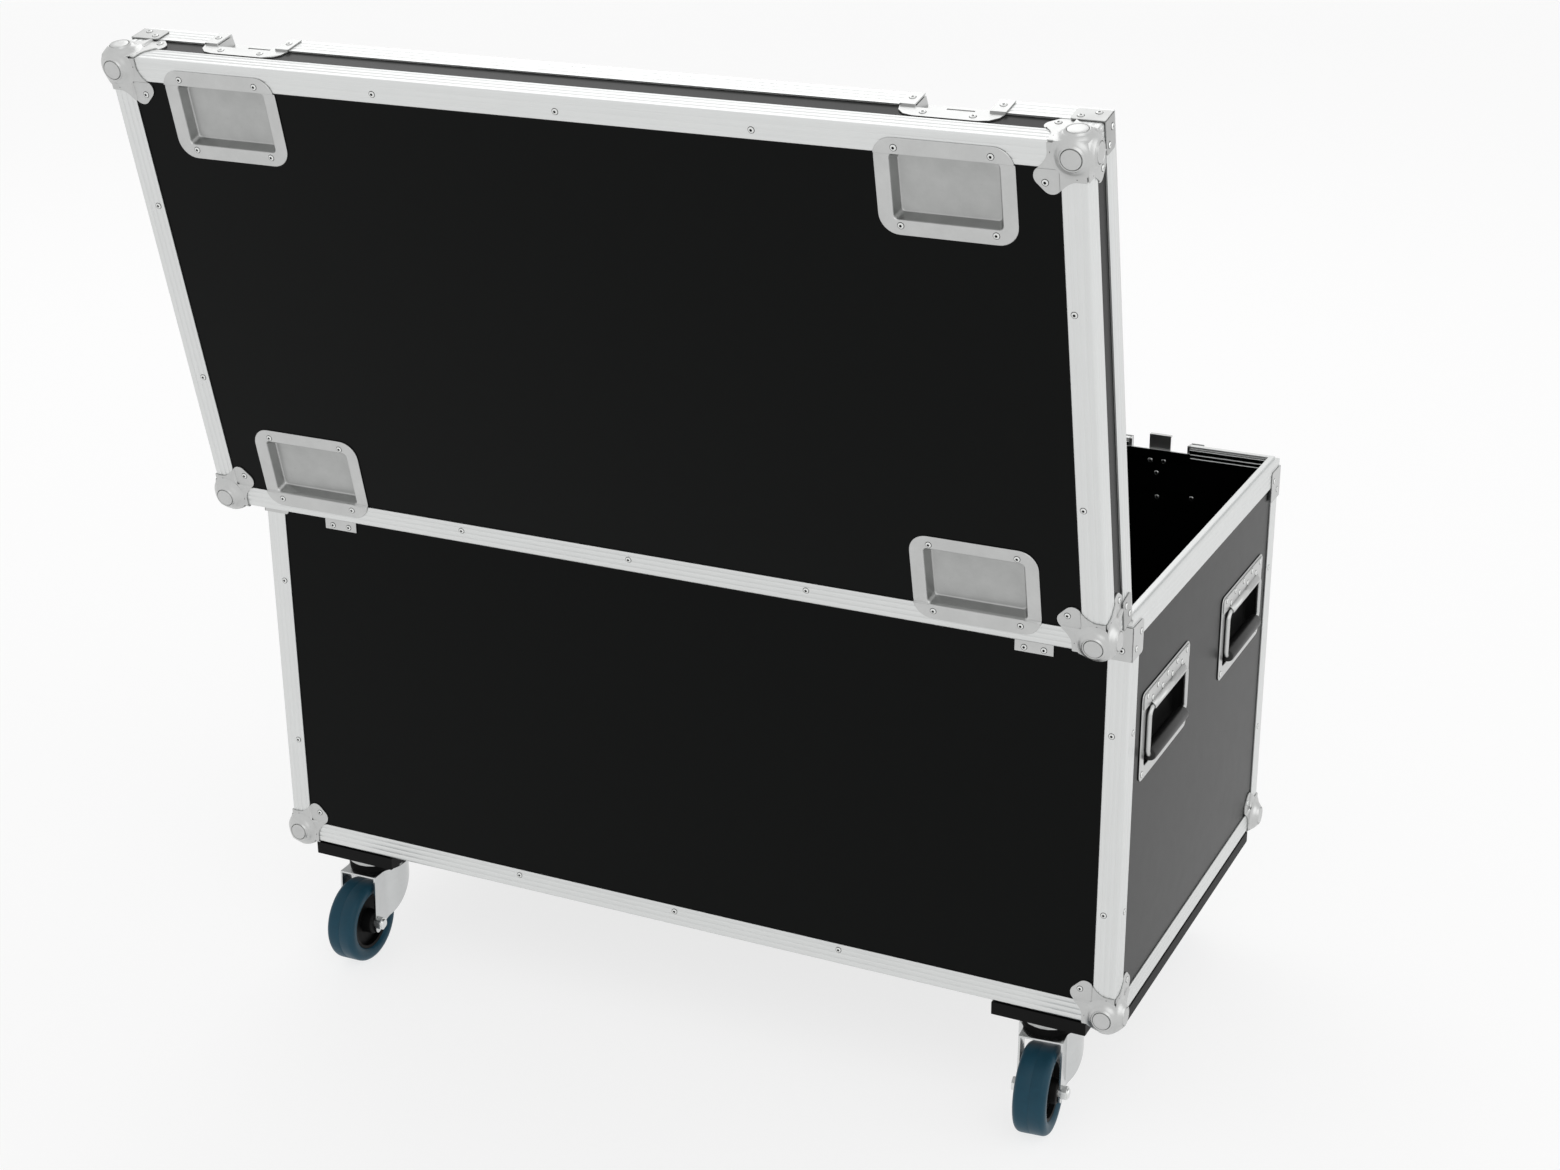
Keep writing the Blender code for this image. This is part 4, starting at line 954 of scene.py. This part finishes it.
def pressed_dish(half, round_corner, opening, middle, depth, lip, foot, corner, shaded):
    """A flange with a pressed recess. The floor, and the bands between rings that shaded counts in
    from the flange's edge, take the darker second material, which paints the shade in the recess."""
    half_x, half_y = half
    open_x, open_y = opening
    top = GAP + SHEET
    rings = [rounded(half_x, half_y, round_corner, GAP),
             rounded(half_x, half_y, round_corner, top - SOFT_EDGE),
             rounded(half_x - SOFT_EDGE, half_y - SOFT_EDGE, round_corner - SOFT_EDGE, top)]
    for sine, cosine in quarter_turn(4):
        out = lip * (1 - sine)
        rings.append(rounded(open_x + out, open_y + out, corner + out, top - lip * (1 - cosine), middle))
    for sine, cosine in quarter_turn(4):
        inward = DISH_TAPER + foot * (FOOT_INSIDE - cosine)
        rings.append(rounded(open_x - inward, open_y - inward, corner, foot * (1 - sine) - depth, middle))
    dish = loft(rings)
    dish.faces.ensure_lookup_table()
    count = len(rings[0])
    # Painted shade: these bands and the floor take the darker second material
    for i in [*range(shaded[0] * count, shaded[1] * count), len(dish.faces) - 1]:
        dish.faces[i].material_index = 1
    return dish


def wheel_dish():
    """A recess for a castor; +Y is the side that lies over the edge profile. The flange is on two
    levels."""
    low, high = span("wheel_dish_rear_right", LID)
    half_x, half_y = (high.x - low.x) / 2, (high.y - low.y) / 2
    step = HALF_DEPTH - DISH_STEP_FROM_EDGE - (low.y + high.y) / 2
    low_y, high_y = DISH_RIM - half_y, step - SHEET
    dish = pressed_dish((half_x, half_y), DISH_ROUND, (half_x - DISH_RIM, (high_y - low_y) / 2),
                        (0.0, (low_y + high_y) / 2), DISH_DEPTH, DISH_LIP, DISH_FOOT, DISH_CORNER,
                        DISH_SHADED)
    for start in (step, step - DISH_RAMP):
        bmesh.ops.bisect_plane(dish, geom=dish.verts[:] + dish.edges[:] + dish.faces[:],
                               plane_co=(0, start, 0), plane_no=(0, 1, 0))
    for vertex in dish.verts:
        if vertex.co.z > -DISH_LIP:
            vertex.co.z -= FACE * min(max((step - vertex.co.y) / DISH_RAMP, 0.0), 1.0)
    return dish


def wheel_dishes():
    mesh = as_mesh("wheel_dish", wheel_dish())
    rivet_x, rivet_y = DISH_RIVETS
    for name in ("rear_right", "rear_left", "front_left", "front_right"):
        low, high = span(f"wheel_dish_{name}", LID)
        turn = 0.0 if name.startswith("rear") else math.pi
        middle = (low + high) / 2
        place = LID @ Matrix.Translation((middle.x, middle.y, LID_HEIGHT)) @ Matrix.Rotation(turn, 4, "Z")
        # Painted shade: the dish's walls, foot and floor take the darker copy of zinc
        add(f"wheel_dish_shell_{name}", mesh, place, "lid", ["zinc", "pressed"],
            f"wheel_dish_{name}", sheet=SHEET)
        for x in (-rivet_x, rivet_x):
            for y in (-rivet_y, rivet_y):
                height = GAP + SHEET - (0.0 if y > 0 else FACE)
                rivet("lid", place @ Matrix.Translation((x, y, height)))


# Castors

def fork_plan(inset, reach):
    """The fork from above: straight legs that fold out to a round skirt behind the swivel axis."""
    half, radius = FORK_INNER / 2 + FORK_SHEET - inset, FORK_SKIRT - inset
    meet = math.degrees(math.acos(half / radius))
    fold = (half, radius * math.sin(math.radians(meet)) - FORK_SKIRT_BACK)
    turn = meet - math.degrees(FORK_BEND / radius)
    skirt = arc((0, -FORK_SKIRT_BACK), radius, turn, -180 - turn, 40)
    right = bezier((half, fold[1] + FORK_BEND), fold, skirt[0], 6)[:-1]
    left = [(-x, y) for x, y in reversed(right)]
    return [(half, reach), *right, *skirt, *left, (-half, reach)]


def castor_fork():
    """A pressed fork: its side view and its plan cut to shape, with the channel for the wheel."""
    toe = arc(FORK_TOE, FORK_TOE_RADIUS, *FORK_TOE_ARC, 12)
    side = [(FORK_FRONT, FORK_TOP), *toe]
    side += bezier(toe[-1], FORK_HOLLOW, FORK_TAIL, 18)[1:]
    back = -FORK_SKIRT - FORK_SKIRT_BACK
    side += [(back, FORK_TOP - FORK_SKIRT_DEPTH), (back, FORK_TOP)]
    body = prism(side, -FORK_SKIRT - GAP, FORK_SKIRT + GAP)
    body.transform(Matrix(((0, 0, 1, 0), (1, 0, 0, 0), (0, 1, 0, 0), (0, 0, 0, 1))))
    front = FORK_TOE[0] + FORK_TOE_RADIUS
    return carve(body, ("INTERSECT", prism(fork_plan(0, front), 0, 2 * FORK_TOP)),
                 ("DIFFERENCE", prism(fork_plan(FORK_SHEET, 1.0), -1.0, FORK_TOP - FORK_CROWN)))


def castor_race():
    """The lower race on the fork's crown, a little narrower above its shoulder."""
    low, top = FORK_TOP - RACE_SUNK, LOWER_RACE_TOP
    neck = RACE_RADIUS - RACE_EDGE
    shoulder_low, shoulder_high = (FORK_TOP + rise for rise in RACE_SHOULDER)
    return revolve([(0.0, low), (RACE_RADIUS, low), (RACE_RADIUS, shoulder_low), (neck, shoulder_high),
                    (neck, top - RACE_EDGE), (RACE_RADIUS - 2 * RACE_EDGE, top), (0.0, top)], 48)


def castor_bolt():
    """Head, shank and nut, along Z from the wheel's middle."""
    half = FORK_INNER / 2 + FORK_SHEET
    nut_end = -half - NUT_HEIGHT
    hexagon = arc((0, 0), NUT_RADIUS, 0, 300, 5)
    shank = [(0, nut_end - BOLT_END), (AXLE_RADIUS - BOLT_CHAMFER, nut_end - BOLT_END),
             (AXLE_RADIUS, nut_end - BOLT_CHAMFER), (AXLE_RADIUS, half), (0, half)]
    return merge(prism(hexagon, nut_end, -half), (FLAT, prism(hexagon, half, half + BOLT_HEAD)),
                 (FLAT, revolve(shank, 24)))


def mirrored(half):
    """A turned profile from its upper half, which starts on the middle plane."""
    return half + [(radius, -height) for radius, height in reversed(half) if height > 0]


def castor_tyre():
    """A tread with round shoulders and a faint moulding line round its middle."""
    side = TREAD_WIDTH / 2
    shoulder = arc((WHEEL_RADIUS - TREAD_SHOULDER, side - TREAD_SHOULDER), TREAD_SHOULDER, 0, 90, 7)
    line_half, line_depth = TREAD_LINE
    half = [(WHEEL_RADIUS - line_depth, 0.0), (WHEEL_RADIUS, line_half), *shoulder]
    half += [(TYRE_INNER + out, side - inward) for out, inward in TYRE_SIDE]
    return revolve(mirrored(half), 64, closed=True)


def castor_hub():
    """A rim inside the tyre, a web and a boss on the axle."""
    bore, side, rim = AXLE_RADIUS + GAP, HUB_WIDTH / 2, TYRE_INNER + HUB_SEAT
    rim_edge, web = HUB_RIM_EDGE, HUB_WEB
    half = [(rim, 0.0), (rim, HUB_RIM_HALF), (rim - rim_edge[0], rim_edge[1]), (rim - web[0], web[1]),
            (HUB_RADIUS + HUB_EDGE, web[1]), (HUB_RADIUS, side - HUB_EDGE),
            (HUB_RADIUS - HUB_EDGE, side), (bore, side)]
    return revolve(mirrored(half), 64, closed=True)


def castors():
    fork, race = as_mesh("castor_fork", castor_fork()), as_mesh("castor_race", castor_race())
    bolt, tyre = as_mesh("castor_bolt", castor_bolt()), as_mesh("castor_tyre", castor_tyre())
    hub = as_mesh("castor_hub", castor_hub())
    across = Matrix.Rotation(math.pi / 2, 4, "Y")
    for name in ("front_left", "front_right", "rear_left", "rear_right"):
        swivel, roll = joint(f"castor_swivel_{name}"), joint(f"castor_roll_{name}")
        yaw = math.atan2(roll["axis"][1], roll["axis"][0])
        place = Matrix.Translation((*swivel["pos_m"][:2], 0)) @ Matrix.Rotation(yaw, 4, "Z")
        centre = place @ Matrix.Translation((0, TRAIL, WHEEL_RADIUS)) @ across
        body, wheel = f"castor_fork_{name}", f"castor_wheel_{name}"
        add(f"fork_{name}", fork, place, body, "chrome", body, slot="zinc", bevel=FORK_EDGE)
        # Painted shade: the zinc race under the board takes the near-black material
        add(f"race_{name}", race, place, body, "hollow", slot="zinc")
        add(f"axle_{name}", bolt, centre, body, "rivet", slot="zinc", bevel=STEEL_EDGE)
        add(f"tyre_{name}", tyre, centre, wheel, "tyre", wheel)
        add(f"hub_{name}", hub, centre, wheel, "castor_board", wheel, slot="grip")
        dress(f"castor_plate_{name}", "zinc", STEEL_EDGE)
    for board in ("castor_board_left", "castor_board_right"):
        dress(board, "castor_board", BOARD_EDGE)


# Handles

def handle_shell():
    low, high = span("handle_dish_left_rear", wall(CASE, 3, 0))
    return pressed_dish(((high.x - low.x) / 2, (high.y - low.y) / 2), HANDLE_ROUND, HANDLE_OPENING,
                        (0.0, -HANDLE_OPENING_DROP), HANDLE_DEPTH, HANDLE_LIP, HANDLE_FOOT,
                        HANDLE_CORNER, HANDLE_SHADED)


def cover_strip():
    """The plate riveted over the top of the recess."""
    low, high = COVER_RISE
    outline = rounded(COVER_HALF, (high - low) / 2, COVER_ROUND, 0.0, (0.0, (low + high) / 2))
    return prism([(x, y) for x, y, _ in outline], GAP + SHEET, GAP + 2 * SHEET)


def cover_curl(pivot):
    """The plate's lower edge, curled over the loop's top bar."""
    line = [(COVER_RISE[0] + CURL_OVERLAP, GAP + 2 * SHEET)]
    line += arc((pivot.y, pivot.z), CURL_RADIUS, *CURL_ARC, 7)
    ends = [[(x, y, z) for y, z in line] for x in (-CURL_HALF, CURL_HALF)]
    return loft(ends, False, False, closed=False)


def cover_rivets(place):
    """Two staggered rows on the plate and one rivet at each lower corner of the flange."""
    rises = (COVER_RISE[1] - COVER_ROWS[0], COVER_RISE[0] + COVER_ROWS[1])
    for i in range(COVER_RIVETS):
        at = (COVER_PITCH * (i - COVER_RIVETS // 2), rises[i % 2], GAP + 2 * SHEET)
        rivet("case", place @ Matrix.Translation(at))
    x, y = FLANGE_RIVET
    for sign in (-1, 1):
        rivet("case", place @ Matrix.Translation((sign * x, y, GAP + SHEET)))


def handle_grip():
    """A rubber sleeve with eased ends, along Z."""
    ease, middle = GRIP_EASE
    ends = [(GRIP_RADIUS, GRIP_HALF - ease), (GRIP_RADIUS - middle, GRIP_HALF - middle),
            (GRIP_RADIUS - ease, GRIP_HALF), (0.0, GRIP_HALF)]
    return revolve([(radius, -height) for radius, height in reversed(ends)] + ends, 32)


def handles():
    shell, grip = as_mesh("handle_shell", handle_shell()), as_mesh("handle_grip", handle_grip())
    strip = as_mesh("handle_strip", cover_strip())
    for side, quarter in (("left", 3), ("right", 1)):
        for end in ("front", "rear"):
            name = f"{side}_{end}"
            on_wall = wall(CASE, quarter, 0)
            low, high = span(f"handle_dish_{name}", on_wall)
            middle = (low + high) / 2
            place = on_wall @ Matrix.Translation((middle.x, middle.y, -FACE))
            pivot = place.inverted() @ Vector(joint(f"handle_lift_{name}")["pos_m"])
            # Painted shade: the recess's walls and floor take the near-black material
            add(f"handle_shell_{name}", shell, place, "case", ["zinc", "hollow"],
                f"handle_dish_{name}", sheet=SHEET)
            add(f"handle_strip_{name}", strip, place, "case", "zinc", bevel=FINE_EDGE)
            add(f"handle_curl_{name}", cover_curl(pivot), place, "case", "zinc", sheet=CURL_SHEET)
            cover_rivets(place)
            body = f"handle_bail_{name}"
            bail_low, bail_high = span(body, place)
            reach = pivot.y - bail_low.y - GRIP_RADIUS
            half = (bail_high.x - bail_low.x) / 2 - BAIL_RADIUS
            ring = rounded(half, reach / 2, BAIL_BEND, pivot.z, (0.0, pivot.y - reach / 2))
            add(f"handle_loop_{name}", ring_bar(ring, BAIL_RADIUS), place, body, "zinc", body)
            lie = Matrix.Translation((0, pivot.y - reach, pivot.z)) @ Matrix.Rotation(math.pi / 2, 4, "Y")
            add(f"handle_grip_{name}", grip, place @ lie, body, "grip", body)


# Latches, hinges, panels and the rest

def small_rivets():
    """The rivets of the latch plates and the hinge leaves."""
    for body, place, rows in (("case", wall(CASE, 0, RIM), BASE_LATCH_RIVETS),
                              ("lid", wall(LID, 0, 0), LID_LATCH_RIVETS)):
        for along in (-latch_x(), latch_x()):
            for x in (-LATCH_RIVET_X, LATCH_RIVET_X):
                for share, rise, drop in rows:
                    at = (along + x * share, rise, GAP + SHEET - drop)
                    rivet(body, place @ Matrix.Translation(at))
    for side in ("left", "right"):
        for half, body, place in (("base", "case", wall(CASE, 2, RIM)), ("lid", "lid", wall(LID, 2, 0))):
            low, high = span(f"hinge_{half}_leaf_{side}", place)
            for x in (-LEAF_RIVET_X, LEAF_RIVET_X):
                at = ((low.x + high.x) / 2 + x, LEAF_RIVET_RISE[half], GAP + LEAF_SHEET - FACE)
                rivet(body, place @ Matrix.Translation(at))


def small_parts():
    for side in ("left", "right"):
        for part in ("dish", "keeper", "hook", "spindle", "wing"):
            dress(f"latch_{part}_{side}", "zinc", FINE_EDGE)
        for half in ("base", "lid"):
            dress(f"hinge_{half}_leaf_{side}", "zinc", FINE_EDGE)
    for panel in ("floor", "front", "rear", "left", "right", "lid"):
        dress(f"{panel}_panel", "laminate")
    dress("lid_walls", "laminate")


# Stage: floor, world, lamps and camera

def floor():
    ground = bmesh.new()
    bmesh.ops.create_grid(ground, x_segments=1, y_segments=1, size=FLOOR_HALF)
    mesh = bpy.data.meshes.new("ground")
    ground.to_mesh(mesh)
    ground.free()
    material = bpy.data.materials.new("ground")
    material.use_nodes = True
    shader = material.node_tree.nodes["Principled BSDF"]
    shader.inputs["Base Color"].default_value = (FLOOR_GREY, FLOOR_GREY, FLOOR_GREY, 1.0)
    shader.inputs["Roughness"].default_value = FLOOR_ROUGHNESS
    shader.inputs["Emission Color"].default_value = (1.0, 1.0, 1.0, 1.0)
    shader.inputs["Emission Strength"].default_value = FLOOR_GLOW
    mesh.materials.append(material)
    obj = bpy.data.objects.new("ground", mesh)
    bpy.context.scene.collection.objects.link(obj)


def world():
    scene_world = bpy.data.worlds.new("world")
    bpy.context.scene.world = scene_world
    scene_world.use_nodes = True
    nodes, links = scene_world.node_tree.nodes, scene_world.node_tree.links
    seen = nodes["Background"]
    seen.inputs["Color"].default_value = (BACKDROP_GREY, BACKDROP_GREY, BACKDROP_GREY, 1.0)
    seen.inputs["Strength"].default_value = 1.0
    soft = nodes.new("ShaderNodeBackground")
    soft.inputs["Color"].default_value = (1.0, 1.0, 1.0, 1.0)
    soft.inputs["Strength"].default_value = SOFT_LIGHT
    path = nodes.new("ShaderNodeLightPath")
    first = nodes.new("ShaderNodeMath")
    first.operation = "MAXIMUM"
    links.new(path.outputs["Is Camera Ray"], first.inputs[0])
    links.new(path.outputs["Is Glossy Ray"], first.inputs[1])
    either = nodes.new("ShaderNodeMath")
    either.operation = "MAXIMUM"
    links.new(first.outputs["Value"], either.inputs[0])
    links.new(path.outputs["Is Transmission Ray"], either.inputs[1])
    mix = nodes.new("ShaderNodeMixShader")
    links.new(either.outputs["Value"], mix.inputs["Fac"])
    links.new(soft.outputs["Background"], mix.inputs[1])
    links.new(seen.outputs["Background"], mix.inputs[2])
    links.new(mix.outputs["Shader"], nodes["World Output"].inputs["Surface"])


def lamp(name, place, aim, size, power):
    light = bpy.data.lights.new(name, "AREA")
    light.shape = "SQUARE"
    light.size = size
    light.energy = power
    obj = bpy.data.objects.new(name, light)
    bpy.context.scene.collection.objects.link(obj)
    turn = (Vector(aim) - Vector(place)).to_track_quat("-Z", "Y").to_matrix().to_4x4()
    obj.matrix_world = Matrix.Translation(place) @ turn


def camera():
    data = bpy.data.cameras.new("camera")
    data.lens = LENS
    data.sensor_width = SENSOR
    data.clip_end = VIEW_END
    obj = bpy.data.objects.new("camera", data)
    bpy.context.scene.collection.objects.link(obj)
    aim = Vector(LOOK).to_track_quat("-Z", "Y").to_matrix().to_4x4()
    roll = Matrix.Rotation(math.radians(ROLL), 4, "Z")
    obj.matrix_world = Matrix.Translation(CASE @ Vector(EYE)) @ aim @ roll
    bpy.context.scene.camera = obj


def main():
    profiles()
    ball_corners()
    band_rivets()
    wheel_dishes()
    castors()
    handles()
    braces()
    backing_plates()
    small_parts()
    small_rivets()
    rivets()
    floor()
    world()
    for name, setting in LAMPS.items():
        lamp(name, *setting)
    camera()
    bpy.context.scene.view_settings.view_transform = "Standard"


main()
